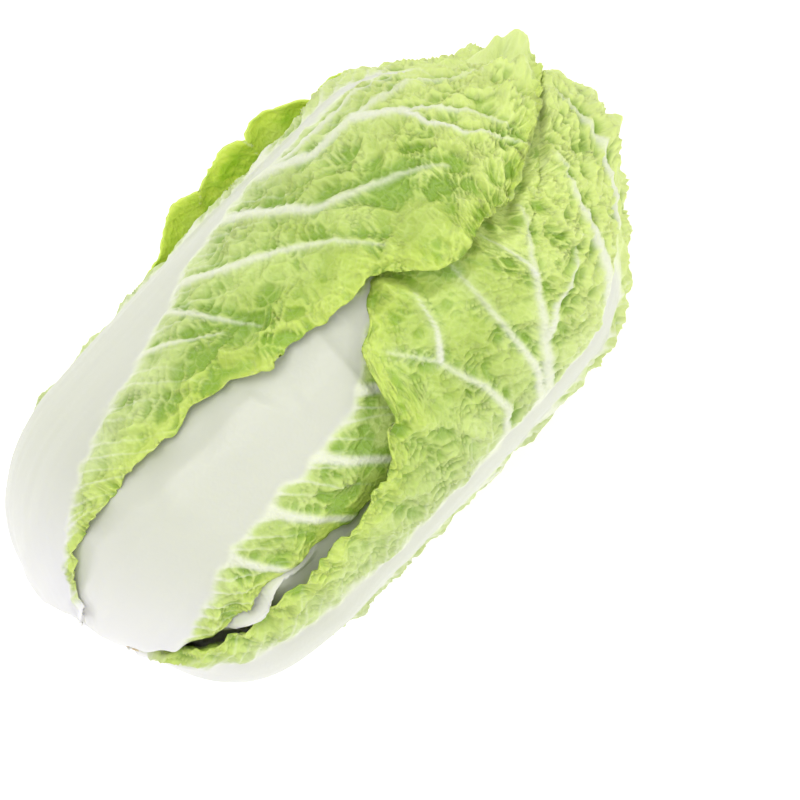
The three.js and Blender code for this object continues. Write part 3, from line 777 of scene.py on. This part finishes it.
rim = leaned(lathe_points(stem_rings(), 32)).reshape(-1, 3)
AXIS = np.array([stem_low[0] - rim[:, 0].min(), (stem_low[1] + stem_high[1]) / 2,
                 (stem_low[2] + stem_high[2]) / 2])
print("head's axis starts at", AXIS.round(2))


def to_frame(points):
    """Head coordinates in millimetres to the frame's metres."""
    return (leaned(points) + AXIS) / 1000


def points_at(place, radius):
    """Points in head coordinates at a radius from their centres."""
    points = place[1] * radius[..., None]
    points[..., 0] += place[0]
    return points


# %% Mesh helper
def add_piece(name, points, groups, uv, values):
    """A mesh object from points (n, 3) in metres and groups of faces with equally many corners.
    uv holds two numbers a point, and values one named number a point for the material."""
    mesh = bpy.data.meshes.new(name)
    corners = np.concatenate([group.ravel() for group in groups]).astype(np.int32)
    sizes = np.concatenate([np.full(len(group), group.shape[1]) for group in groups])
    mesh.vertices.add(len(points))
    mesh.vertices.foreach_set("co", points.astype(np.float32).ravel())
    mesh.loops.add(len(corners))
    mesh.loops.foreach_set("vertex_index", corners)
    mesh.polygons.add(len(sizes))
    mesh.polygons.foreach_set("loop_start", (np.cumsum(sizes) - sizes).astype(np.int32))
    mesh.update(calc_edges=True)
    layer = mesh.uv_layers.new(name="leaf_map")
    layer.data.foreach_set("uv", uv[corners].astype(np.float32).ravel())
    for key, value in values.items():
        mesh.attributes.new(key, "FLOAT", "POINT").data.foreach_set("value", value.astype(np.float32))
    mesh.polygons.foreach_set("use_smooth", np.ones(len(sizes), bool))
    mesh.validate()
    piece = bpy.data.objects.new(name, mesh)
    bpy.context.collection.objects.link(piece)
    triangles = int((sizes - 2).sum())
    print(name, "triangles", triangles)
    return piece, triangles


# %% Sheet helper
def sheet_faces(rows, columns):
    """Faces of a closed leaf: fine outer grid, coarse inner grid after it, and the rim between."""
    def grid(height, width, first):
        number = first + np.arange((height + 1) * (width + 1)).reshape(height + 1, width + 1)
        a, b, c, d = number[:-1, :-1], number[:-1, 1:], number[1:, 1:], number[1:, :-1]
        return number, np.stack([a, b, c, d], axis=-1).reshape(-1, 4)

    outer, outer_faces = grid(rows, columns, 0)
    inner, inner_faces = grid(rows // 2, columns // 2, outer.size)
    walk = [(outer[0], inner[0]), (outer[:, -1], inner[:, -1]), (outer[-1, ::-1], inner[-1, ::-1]),
            (outer[::-1, 0], inner[::-1, 0])]
    rims = [np.stack([o[:-2:2], i[:-1], i[1:], o[2::2], o[1::2]], axis=-1) for o, i in walk]
    return [outer_faces, inner_faces[:, ::-1], np.concatenate(rims)]


# %% [markdown]
# The leaf builder lays a grid over the map of the leaf, crinkles its margin, and finds for each point
# how high the inner and the outer side lie. Where a leaf is covered it stays as plain as in the solids,
# so nothing pokes through. Where it is free, the relief comes on, and its margin is drawn down onto
# the leaf underneath, as the tight head of a real cabbage does it.

# %% Grid over a leaf, and its flat spot on the floor
END_ROW = 0.62
# The roots run this far into the stem, so that no gap shows round it
ROOT_SINK = 3.5
REST_SPOTS = {
    "outer_leaf_low_left": dict(middle=13, width=18, blend=12),
    "outer_leaf_low_right": dict(middle=-22, width=14, blend=8),
}
REST_LENGTH = 116
# Only directions that point down by more than this part are pushed to the floor
REST_DOWN = 0.5
FLOOR = -AXIS[2]


def grid_places(leaf, rows, columns):
    """Distances along and across for a grid over the leaf. The root row follows the round stem and
    the last row the closing ellipse."""
    u = np.linspace(0, 1, rows + 1)[:, None]
    v = np.linspace(-1, 1, columns + 1)[None, :]
    reach = leaf["end"] - leaf["closing"]
    corner = leaf["closing"] + reach * np.sqrt(1 - END_ROW ** 2)
    last = leaf["closing"] + reach * np.sqrt(1 - (END_ROW * v) ** 2)
    root_half = np.where(v < 0, leaf["half"][0][1], leaf["half"][0][2])
    butt = np.cos(BUTT_ANGLE + ROOT_CLEARANCE)
    root = BARREL_RADIUS * np.arccos(np.minimum(1, butt / np.cos(root_half * v / BARREL_RADIUS)))
    root = np.maximum(root - ROOT_SINK, 0.3 * root)
    side = BARREL_RADIUS * np.arccos(np.minimum(1, butt / np.cos(root_half / BARREL_RADIUS)))
    edge = half_width(leaf, mix(side, corner, u), v + 0 * u)
    return mix(root, last, u), v * edge


def rest_shift(leaf, place, outer):
    """How far a leaf under the head is pushed out, so that its flat spot lies on the floor."""
    spot = REST_SPOTS.get(leaf["name"])
    if spot is None:
        return np.zeros(outer.shape)
    points = points_at(place, outer)
    lengthwise = np.abs(points[..., 0] - HEAD_LENGTH / 2) - REST_LENGTH / 2
    crosswise = np.abs(points[..., 1] - spot["middle"]) - spot["width"] / 2
    weight = 1 - ramp(np.maximum(lengthwise, crosswise) / spot["blend"])
    dz = np.minimum(place[1][..., 2], -REST_DOWN)
    return np.where(place[1][..., 2] > -REST_DOWN, 0, (FLOOR / dz - outer) * weight)


# %% Heights of the two sides
# The underside of the head stays calm, from this direction down
REST_CALM, REST_CALM_BAND = -0.9, 0.35
# The margin lies snugly on the leaf under it, and is thinner than the blade
SNUG_BAND, SNUG_LEFT, SNUG_START, SNUG_GROWTH = 12, 0.55, 70, 40
THIN_MARGIN, THIN_BAND = 0.4, 10
RIB_END, RIB_FADE = 285, 55
# Where a leaf of the second whorl shows between the outer ones, it swells into the gap, most at the foot
FILL, ROOT_FILL = 3.6, 8.5
FILL_GROWTH, FOOT_END, FOOT_BAND = 30, 90, 60
GAP_EDGE = (0.3, 4.0)
GROOVE_DEPTH, GROOVE_WIDTH, GROOVE_STRETCH = 0.14, 8, 0.09


def snugness(s, inside, lift):
    """How far the margin is drawn down onto the leaf under it, where it isn't lifted."""
    near = 1 - ramp(inside / SNUG_BAND)
    gap = mix(LEAF_GAP[2], LEAF_GAP[1], ramp((s - 130) / 30))
    return near * (gap - SNUG_LEFT) * ramp((s - SNUG_START) / SNUG_GROWTH) * (1 - ramp(lift - 0.2))


def fine_thickness(leaf, s, t, inside):
    """The plain thickness, but the rib runs out near the tip and the margin is thinner."""
    thick = mix(plain_thickness(leaf, s, t), BLADE, ramp((s - RIB_END) / RIB_FADE))
    return thick - THIN_MARGIN * leaf["crisp"] * (1 - ramp(inside / THIN_BAND))


def rib_grooves(leaf, s, t, blade):
    """Shallow grooves that run along the white rib."""
    grooves = GROOVE_DEPTH * soft_noise(GROOVE_STRETCH * s, t, GROOVE_WIDTH, leaf["seed"] + 10)
    return grooves * (1 - blade) * ramp(s / CALM_ROOT)


def leaf_sides(leaf, s, t, inside, fields):
    """Places of the leaf's points, and the heights of its inner and of its outer side."""
    flat = place_of(leaf["side"], s, t)
    aloft = ramp((flat[1][..., 2] - REST_CALM) / REST_CALM_BAND)
    free = exposure(leaf["order"], flat, FREE_START, FREE_END) * aloft
    back, curl = curl_back(leaf, s, t, inside)
    place = place_of(leaf["side"], s, t - free * back)
    lift = free * (margin_lift(leaf, s, t, inside) + curl + crests(leaf, s, t))
    snug = snugness(s, inside, lift) * aloft
    inner = inner_face(leaf["order"], flat) + lift - snug
    if leaf["whorl"] == 2:
        gap = exposure(leaf["order"], flat, *GAP_EDGE) * aloft
        inner = inner + gap * mix(ROOT_FILL, FILL, ramp((s - FOOT_END) / FOOT_BAND)) * ramp(s / FILL_GROWTH)
    height = free * (relief(fields) + rib_grooves(leaf, s, t, fields["blade"])) * leaf["crisp"]
    height = mix(height, np.maximum(height, 0), np.clip(snug, 0, 1))
    outer = inner + fine_thickness(leaf, s, t, inside) + height
    shift = rest_shift(leaf, place, outer)
    return place, inner + shift + height * fields["blade"], outer + shift


# %% Leaf builder
CRINKLE_BAND = 14
MAP_UNIT = 100


def leaf_faces(leaf, rows, columns, twigged):
    """Points of both sides of a leaf, its map and the values that its material reads."""
    s, t = grid_places(leaf, rows, columns)
    inside = -past_margin(leaf, s, t)
    t = t + margin_crinkle(leaf, s, t) * np.sign(t) * (1 - np.clip(inside / CRINKLE_BAND, 0, 1))
    fields = leaf_fields(leaf, s, t, inside, twigged)
    place, low, high = leaf_sides(leaf, s, t, inside, fields)
    coarse = (slice(None, None, 2), slice(None, None, 2))

    def both(value):
        """The value at the points of the outer grid, and then at those of the inner one."""
        return np.concatenate([value.ravel(), value[coarse].ravel()])

    outer_points = points_at(place, high)
    inner_points = points_at((place[0][coarse], place[1][coarse]), low[coarse])
    points = np.concatenate([outer_points.reshape(-1, 3), inner_points.reshape(-1, 3)])
    uv = np.stack([both(s), both(t)], axis=-1) / MAP_UNIT
    return points, uv, {key: both(value) for key, value in leaf_values(s, fields).items()}


def leaf_values(s, fields):
    """Numbers for the material: white of rib and veins, nearness of the margin, a painted shade that
    follows the relief, darker in pits, creases and valleys and lighter on swells, crumples and raised
    folds, and how far the leaf has yellowed towards its tip."""
    veins = np.maximum(fields["main"] ** 0.9, 0.6 * fields["side"])
    veins = np.maximum(veins, 0.3 * fields["twig"]) * ramp(fields["blade"] * 3)
    # Painted shade from the relief: pits, creases and valleys darker, swells, crumples and raised folds
    # lighter
    hollow = 0.7 * fields["pit"] * fields["rough"] - 0.35 * fields["swell"] + 0.6 * fields["valley"]
    hollow = hollow - 0.4 * fields["crumple"] * fields["loose"]
    hollow = hollow - 0.35 * np.clip(fields["fold"], -1.4, 1.4) + 0.9 * fields["shadowed_crease"]
    return dict(
        white=fields["white"],
        vein=veins,
        haze=fields["haze"],
        edge=1 - np.clip(fields["inside"] / 22, 0, 1),
        # depth carries the painted shade, not a colour of the leaf itself
        depth=np.clip(0.3 + 0.42 * hollow, 0, 1) * fields["blade"],
        base=1 - ramp((s - 20) / 100),
        tip=ramp((s - 235) / 100),
    )


# %% [markdown]
# ## Materials
#
# A leaf is wet tissue under a thin wax skin. The skin gives a satin gloss, and the tissue lets some
# light through, which is why shadows on a cabbage stay bright and green. Principled BSDF has both:
# roughness near 0.4, IOR 1.45 of wax, and a little subsurface. Colours are mixed from the values on
# the mesh, and the finest cells and specks come from Voronoi and noise on the leaf's own map, whose
# unit is 100 mm. A painted picture would do it too, but it would fit only one leaf.

# %% Material helpers
def linear(code):
    """Linear colour of an sRGB hex code."""
    c = np.array([int(code[k:k + 2], 16) for k in (1, 3, 5)]) / 255
    return (*np.where(c <= 0.04045, c / 12.92, ((c + 0.055) / 1.055) ** 2.4), 1.0)


def node(tree, kind, settings=(), **links):
    """Adds a node, sets its own settings, and sets or links its input sockets by name."""
    made = tree.nodes.new(kind)
    for key, value in dict(settings).items():
        setattr(made, key, value)
    for key, value in links.items():
        socket = made.inputs[int(key[1:])] if key[0] == "i" and key[1:].isdigit() else made.inputs[key]
        if isinstance(value, bpy.types.NodeSocket):
            tree.links.new(value, socket)
        else:
            socket.default_value = value
    return made


def new_material(name):
    """An empty node material and its tree."""
    material = bpy.data.materials.new(name)
    material.use_nodes = True
    material.node_tree.nodes.clear()
    return material, material.node_tree


def to_surface(tree, shader):
    """Joins a shader to the material's output."""
    output = node(tree, "ShaderNodeOutputMaterial")
    tree.links.new(shader.outputs[0], output.inputs["Surface"])


def blend_colours(tree, factor, first, second_colour, way="MIX"):
    """One colour over another."""
    made = node(tree, "ShaderNodeMix", dict(data_type="RGBA", blend_type=way), i0=factor)
    for socket, value in ((made.inputs[6], first), (made.inputs[7], second_colour)):
        if isinstance(value, bpy.types.NodeSocket):
            tree.links.new(value, socket)
        else:
            socket.default_value = value
    return made.outputs[2]


def maths(tree, operation, a, b):
    """One step of arithmetic."""
    return node(tree, "ShaderNodeMath", dict(operation=operation), i0=a, i1=b).outputs[0]


def ranged(tree, value, low, high, to_low=0.0, to_high=1.0):
    """value from low..high eased to to_low..to_high."""
    made = node(tree, "ShaderNodeMapRange", dict(interpolation_type="SMOOTHSTEP"), Value=value)
    for key, number in (("From Min", low), ("From Max", high), ("To Min", to_low), ("To Max", to_high)):
        made.inputs[key].default_value = number
    return made.outputs["Result"]


# %% Leaf material
# Fresh cabbage leaf: satin wax skin over wet tissue, white where it is thick, green where it is thin.
# "under" is the frill behind the head, its palette a lit copy painted brighter for the light that
# shines through it where it lies in shade, and "inner" the second whorl
# The darkest green of each palette is painted shade for pits, creases, valleys and small cells
PALETTES = {
    "outer": dict(painted_shade="#76a01c", mid="#a9c150", light="#c0d671", frill="#c6dc5e", tip="#dcec8c",
                  rib="#cccebf", root="#ecebe9", vein="#dde1c8"),
    "under": dict(painted_shade="#a0ca2c", mid="#cbea58", light="#daf27a", frill="#def46c", tip="#d3e583",
                  rib="#d0d2c4", root="#ecebe9", vein="#dfe6bc"),
    "inner": dict(painted_shade="#98b23c", mid="#b9cf6c", light="#cbdc88", frill="#d3e070", tip="#dbe88c",
                  rib="#d8d9ce", root="#ecebe9", vein="#e3e8c8"),
    "heart": dict(painted_shade="#b3bd4a", mid="#ccd46c", light="#dbe188", frill="#e2e87e", tip="#e0e88a",
                  rib="#dddcd0", root="#ecebe9", vein="#e8ebc9"),
}


def blade_colour(tree, colours, value, patches, speckle, fine):
    """Green in slow patches, yellower to the tip and the margin, painted darker in the pits, creases,
    valleys and small cells as painted shade, paler beside the white, and crossed by the veins."""
    # Painted shade: the depth value and the small Voronoi cells blend the green towards the shade colour
    painted_shade = maths(tree, "MULTIPLY", ranged(tree, value["depth"], 0.35, 0.85), 0.85)
    dents = ranged(tree, fine, 0.08, 0.4, 0.0, 0.07)
    veinlet = ranged(tree, fine, 0.0, 0.1, 1.0, 0.0)
    green = blend_colours(tree, ranged(tree, patches, 0.35, 0.68), colours["mid"], colours["light"])
    layers = [
        ("vein", value["haze"]),
        ("tip", maths(tree, "MULTIPLY", value["tip"], 0.7)),
        ("frill", ranged(tree, value["edge"], 0.2, 1.0, 0.0, 0.7)),
        ("painted_shade", maths(tree, "MAXIMUM", painted_shade, dents)),
        ("light", maths(tree, "MULTIPLY", speckle, 0.2)),
        ("vein", maths(tree, "MULTIPLY", veinlet, 0.06)),
        ("vein", ranged(tree, value["vein"], 0.1, 0.9, 0.0, 0.95)),
    ]
    for colour, amount in layers:
        green = blend_colours(tree, amount, green, colours[colour])
    return green


def leaf_colour(tree, colours, value, patches, speckle, fine):
    """The rib, white at the root, over the blade, with a ragged edge between the two."""
    blade = blade_colour(tree, colours, value, patches, speckle, fine)
    rib = blend_colours(tree, ranged(tree, value["white"], 0.6, 1.0), colours["vein"], colours["rib"])
    rib = blend_colours(tree, value["base"], rib, colours["root"])
    ragged = maths(tree, "ADD", value["white"], maths(tree, "MULTIPLY", value["vein"], 0.5))
    ragged = maths(tree, "ADD", ragged, maths(tree, "MULTIPLY", speckle, 0.2))
    return blend_colours(tree, ranged(tree, ragged, 0.3, 1.05), blade, rib)


def leaf_material(kind):
    """Leaf skin: the leaf's colour under a satin skin with fine dents, smoother on the rib."""
    colours = {key: linear(code) for key, code in PALETTES[kind].items()}
    material, tree = new_material("leaf_skin_" + kind)
    value = {key: node(tree, "ShaderNodeAttribute", dict(attribute_name=key)).outputs["Fac"]
             for key in ("white", "vein", "haze", "edge", "depth", "tip", "base")}
    uv = node(tree, "ShaderNodeUVMap", dict(uv_map="leaf_map")).outputs["UV"]
    # The map's unit is 100 mm: scale 4 makes patches of 25 mm, 55 specks of 2 mm, 30 cells of 3.3 mm
    patches = node(tree, "ShaderNodeTexNoise", dict(noise_dimensions="2D"), Vector=uv, Scale=4.0,
                   Detail=4.0, Roughness=0.6).outputs["Fac"]
    speckle = node(tree, "ShaderNodeTexNoise", dict(noise_dimensions="2D"), Vector=uv, Scale=55.0,
                   Detail=3.0, Roughness=0.65).outputs["Fac"]
    fine = node(tree, "ShaderNodeTexVoronoi", dict(voronoi_dimensions="2D", feature="DISTANCE_TO_EDGE"),
                Vector=uv, Scale=30.0).outputs["Distance"]
    bump_height = maths(tree, "ADD", ranged(tree, fine, 0.0, 0.35, 0.5, 0.0), speckle)
    smooth_rib = ranged(tree, value["white"], 0.3, 1.0, 1.0, 0.12)
    bump = node(tree, "ShaderNodeBump", Strength=maths(tree, "MULTIPLY", smooth_rib, 0.55),
                Distance=0.0006, Height=bump_height).outputs["Normal"]
    rough = ranged(tree, speckle, 0.2, 0.8, 0.36, 0.52)
    skin = node(tree, "ShaderNodeBsdfPrincipled", Roughness=rough, IOR=1.45, Normal=bump)
    tree.links.new(leaf_colour(tree, colours, value, patches, speckle, fine), skin.inputs["Base Color"])
    skin.inputs["Subsurface Weight"].default_value = 0.25
    skin.inputs["Subsurface Radius"].default_value = (1.0, 1.0, 0.45)
    skin.inputs["Subsurface Scale"].default_value = 0.003
    to_surface(tree, skin)
    return material


SKINS = {kind: leaf_material(kind) for kind in PALETTES}

# %% Build the leaves
# Steps along and across the outer side: finest on the two leaves that fill the view
GRIDS = {
    "outer_leaf_left": (336, 216),
    "outer_leaf_right": (336, 216),
    "outer_leaf_top": (288, 176),
    "outer_leaf_low_left": (260, 160),
    "outer_leaf_low_right": (220, 120),
}
SECOND_GRID = (140, 72)
total = 0
for leaf in LEAVES:
    rows, columns = GRIDS.get(leaf["name"], SECOND_GRID)
    points, uv, values = leaf_faces(leaf, rows, columns, leaf["whorl"] == 1)
    piece, triangles = add_piece(leaf["name"] + "_fine", to_frame(points), sheet_faces(rows, columns),
                                 uv, values)
    kind = "outer" if leaf["whorl"] == 1 else "inner"
    # The frill behind the head gets the brighter, painted-light copy of the skin
    kind = "under" if leaf["name"] == "outer_leaf_low_left" else kind
    piece.data.materials.append(SKINS[kind])
    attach(piece, "root")
    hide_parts(leaf["name"])
    total += triangles
print("triangles in the leaves", total)

# %% [markdown]
# ## Heart
#
# The heart is the ball of tight inner leaves. Only its tip could show, between the ends of the outer
# leaves. It is one closed surface: rings round the axis, whose radius is the space under every leaf,
# less a saw-tooth step for each inner leaf's margin and a crumple at the tip.

# %% Heart
HEART_GAP = 3.6
HEART_LEAVES = 7
HEART_RELIEF = 2.4
HEART_CRUMPLE = 3
# Over this length along the head each inner margin moves round by the width of one inner leaf
HEART_TURN = 190
HEART_START, HEART_STOP = 0.03, 0.97
HEART_FLOOR = 5


def heart_radius(place, azimuth):
    """Radius of the heart in a direction."""
    dx = place[1][..., 0]
    saw = (azimuth / (2 * np.pi) * HEART_LEAVES + place[0] / HEART_TURN) % 1
    crumple = np.sin(azimuth * 5) * np.sin(dx * 9)
    raised = -HEART_RELIEF * saw - ramp((dx - 0.1) / 0.8) * HEART_CRUMPLE * (0.5 - 0.5 * crumple)
    return inner_face(-1, place) - HEART_GAP + raised


def tube_faces(rings, sides):
    """Faces of a closed tube: rings of points, with one point before the first and one after the last."""
    number = 1 + np.arange(rings * sides).reshape(rings, sides)
    turned = np.roll(number, -1, axis=1)
    walls = np.stack([number[:-1], turned[:-1], turned[1:], number[1:]], axis=-1).reshape(-1, 4)
    first = np.stack([np.zeros(sides, int), turned[0], number[0]], axis=-1)
    last = np.stack([np.full(sides, rings * sides + 1), number[-1], turned[-1]], axis=-1)
    return [walls, np.concatenate([first, last])]


def build_heart(rings=150, sides=160):
    """Rings from the hollow at the base, along the barrel, to the pole at the tip."""
    hollow = BARREL_RADIUS - STEM_LENGTH - HEART_FLOOR
    base = BUTT_ANGLE + 2 * ROOT_CLEARANCE
    a = np.linspace(0, 2 * np.pi, sides, endpoint=False)[None, :]
    s = np.linspace(BARREL_RADIUS * (base + HEART_START), TIP_START + BASE_ARC * HEART_STOP, rings)[:, None]
    b = np.where(s < BASE_ARC, s, np.where(s < TIP_START, BASE_ARC, s - TIP_START + BASE_ARC))
    b = b / BARREL_RADIUS + 0 * a
    direction = np.stack([-np.cos(b), -np.sin(b) * np.sin(a), np.sin(b) * np.cos(a)], axis=-1)
    direction[np.abs(direction) < 1e-9] = 0
    centre = np.clip(BASE_CENTRE + s - BASE_ARC, BASE_CENTRE, TIP_CENTRE) + 0 * a
    place = centre, direction
    body = points_at(place, heart_radius(place, a + 0 * s))
    mouth = np.stack([BASE_CENTRE - hollow * np.cos(base) + 0 * a, -hollow * np.sin(base) * np.sin(a),
                      hollow * np.sin(base) * np.cos(a)], axis=-1)
    body = np.concatenate([mouth, body])
    ends = [[mouth[0, 0, 0], 0, 0], [body[-1, :, 0].mean(), 0, 0]]
    points = np.concatenate([[ends[0]], body.reshape(-1, 3), [ends[1]]])
    around = np.concatenate([[0], (a + np.zeros((rings + 1, 1))).ravel(), [0]])
    uv = np.stack([points[:, 0], around * BARREL_RADIUS], axis=-1) / MAP_UNIT
    values = dict(white=1 - ramp((points[:, 0] - 30) / 150), vein=0 * around, edge=0 * around,
                  depth=0.3 + 0 * around, tip=ramp((points[:, 0] - 180) / 100), base=0 * around,
                  haze=0 * around)
    piece, _ = add_piece("heart_fine", to_frame(points), tube_faces(rings + 1, sides), uv, values)
    piece.data.materials.append(SKINS["heart"])
    return piece


heart = build_heart()
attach(heart, "root")
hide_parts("heart")

# %% [markdown]
# ## Stem
#
# The stem is a short stump, cut flat with a knife. The cut dries within hours: its rim turns tan, the
# middle stays white, and fine rings and rays of fibre show. The rings are in the mesh, and the colour
# runs from the middle to the rim by the distance from the axis.

# %% Stem
RING_HEIGHT, RAY_HEIGHT, DISH = 0.10, 0.12, 0.5


def build_stem(sides=96):
    """The cone from the solid with a slightly dished, ringed cut, as a lathe round the axis."""
    face_x, face_r = stem_rings()[0]
    steps = np.linspace(0.03, 1, 22)
    dish = DISH * (1 - steps ** 2) + RING_HEIGHT * np.cos(steps * 60)
    face = np.stack([face_x + dish * (1 - steps ** 8) * 0.8, face_r * steps], axis=-1)
    edge = np.linspace(0, np.pi / 2, 5)[1:-1]
    outer = stem_rings()[1]
    rounded = np.stack([face_x + STEM_EDGE * (1 - np.cos(edge)), face_r + (outer[1] - face_r) * np.sin(edge)],
                       axis=-1)
    wall = mix(outer, stem_rings()[2], np.linspace(0, 1, 12)[:, None])
    profile = np.concatenate([face, rounded, wall])
    rings = lathe_points(profile, sides)
    a = np.linspace(0, 2 * np.pi, sides, endpoint=False)
    inside = np.arange(len(profile)) < len(face) - 1
    rays = RAY_HEIGHT * (np.sin(17 * a) + np.sin(29 * a + 1))
    rings[inside, :, 0] += rays * steps[:-1, None] * (1 - steps[:-1, None])
    ends = [[rings[0, :, 0].mean(), 0, 0], [profile[-1, 0], 0, 0]]
    points = np.concatenate([[ends[0]], rings.reshape(-1, 3), [ends[1]]])
    radial = np.concatenate([[0], np.repeat(profile[:, 1] / outer[1], sides), [0]])
    radial = np.where(points[:, 0] > CUT_FACE + STEM_EDGE + 0.2, 1.0, radial)
    uv = points[:, 1:] / MAP_UNIT
    piece, _ = add_piece("stem_fine", to_frame(points), tube_faces(len(profile), sides), uv,
                         dict(rim=radial))
    return piece


def stem_material():
    """Cut stem: moist matt flesh, white in the middle and dried tan at the rim."""
    material, tree = new_material("cut_stem_flesh")
    rim_value = node(tree, "ShaderNodeAttribute", dict(attribute_name="rim")).outputs["Fac"]
    place = node(tree, "ShaderNodeTexCoord").outputs["Object"]
    fibre = node(tree, "ShaderNodeTexNoise", Vector=place, Scale=900.0, Detail=4.0).outputs["Fac"]
    stain = node(tree, "ShaderNodeTexNoise", Vector=place, Scale=160.0, Detail=3.0).outputs["Fac"]
    dried = maths(tree, "ADD", rim_value, maths(tree, "MULTIPLY", stain, 0.4))
    flesh = blend_colours(tree, ranged(tree, dried, 0.5, 1.05), linear("#eeebe0"), linear("#ddd6b0"))
    flesh = blend_colours(tree, ranged(tree, dried, 0.98, 1.28), flesh, linear("#b08d58"))
    flesh = blend_colours(tree, maths(tree, "MULTIPLY", fibre, 0.25), flesh, linear("#e6dfc6"))
    bump = node(tree, "ShaderNodeBump", Strength=0.5, Distance=0.0003, Height=fibre).outputs["Normal"]
    skin = node(tree, "ShaderNodeBsdfPrincipled", Roughness=0.58, IOR=1.4, Normal=bump)
    tree.links.new(flesh, skin.inputs["Base Color"])
    to_surface(tree, skin)
    return material


stem = build_stem()
stem.data.materials.append(stem_material())
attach(stem, "root")
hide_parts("stem")

# %% [markdown]
# ## Floor, light and camera
#
# The head lies on white card in very soft, bright light. A white world lights it from all sides, and
# two large soft lamps, one over it and one from the side, give the veins a little shadow. The card
# glows a little, as paper under studio light does. The camera looks straight down from far away with a
# long lens, turned so that the head lies across the picture. Floor and lamps are given in metres.

# %% Floor
FLOOR_HALF, CARD_GLOW = 6.0, 0.3
floor_mesh = bpy.data.meshes.new("table_top")
floor_corners = [(FLOOR_HALF * x, FLOOR_HALF * y, 0) for x, y in ((-1, -1), (1, -1), (1, 1), (-1, 1))]
floor_mesh.from_pydata(floor_corners, [], [(0, 1, 2, 3)])
table_top = bpy.data.objects.new("table_top", floor_mesh)
bpy.context.collection.objects.link(table_top)
paper, paper_tree = new_material("white_card")
card = node(paper_tree, "ShaderNodeBsdfPrincipled", Roughness=0.7)
card.inputs["Base Color"].default_value = linear("#fbfbfb")
card.inputs["Emission Color"].default_value = (1, 1, 1, 1)
card.inputs["Emission Strength"].default_value = CARD_GLOW
to_surface(paper_tree, card)
floor_mesh.materials.append(paper)

# %% Light
WORLD_LIGHT = 0.78
# The lamps look at a point this high above the frame's origin, near the head's axis
LAMP_AIM = 0.08
scene = bpy.context.scene
world = bpy.data.worlds.new("soft_white")
scene.world = world
world.use_nodes = True
world.node_tree.nodes["Background"].inputs[0].default_value = (1, 1, 1, 1)
world.node_tree.nodes["Background"].inputs[1].default_value = WORLD_LIGHT


def add_lamp(name, place, size, power):
    """A square lamp that faces the middle of the head."""
    lamp = bpy.data.lights.new(name, "AREA")
    lamp.size, lamp.energy = size, power
    holder = bpy.data.objects.new(name, lamp)
    holder.location = place
    aim = np.array([0.0, 0.0, LAMP_AIM]) - np.array(place)
    holder.rotation_euler = Vector(aim).to_track_quat("-Z", "Y").to_euler()
    bpy.context.collection.objects.link(holder)


add_lamp("soft_box_over", (0.1, 0.5, 1.5), 0.8, 9)
add_lamp("soft_box_side", (0.3, -1.0, 0.9), 0.9, 5)
scene.view_settings.view_transform = "Standard"
scene.view_settings.look = "None"

# %% Camera
# Image right and image up in the frame: the head's axis runs 47 degrees up across the picture
RIGHT = np.array([0.684, -0.729, 0.0])
UP = np.array([0.729, 0.684, 0.0])
VIEW_WIDTH = 333.6
VIEW_LENS = 150.0
SENSOR = 36.0
HEAD_MIDDLE = AXIS + [HEAD_LENGTH / 2, 0, 0]
# The head lies left of the photo's middle and above it, so the camera aims past it
SHIFT_RIGHT, SHIFT_UP = 27.9, -15.8
aim_point = HEAD_MIDDLE + SHIFT_RIGHT * RIGHT + SHIFT_UP * UP
distance = VIEW_WIDTH * VIEW_LENS / SENSOR
camera_data = bpy.data.cameras.new("camera")
camera_data.lens, camera_data.sensor_width = VIEW_LENS, SENSOR
camera_data.clip_end = 50
camera = bpy.data.objects.new("camera", camera_data)
bpy.context.collection.objects.link(camera)
turn = Matrix((RIGHT, UP, np.cross(RIGHT, UP))).transposed().to_4x4()
camera.matrix_world = Matrix.Translation((aim_point + distance * np.cross(RIGHT, UP)) / 1000) @ turn
scene.camera = camera

# %% The end
bpy.context.view_layer.update()
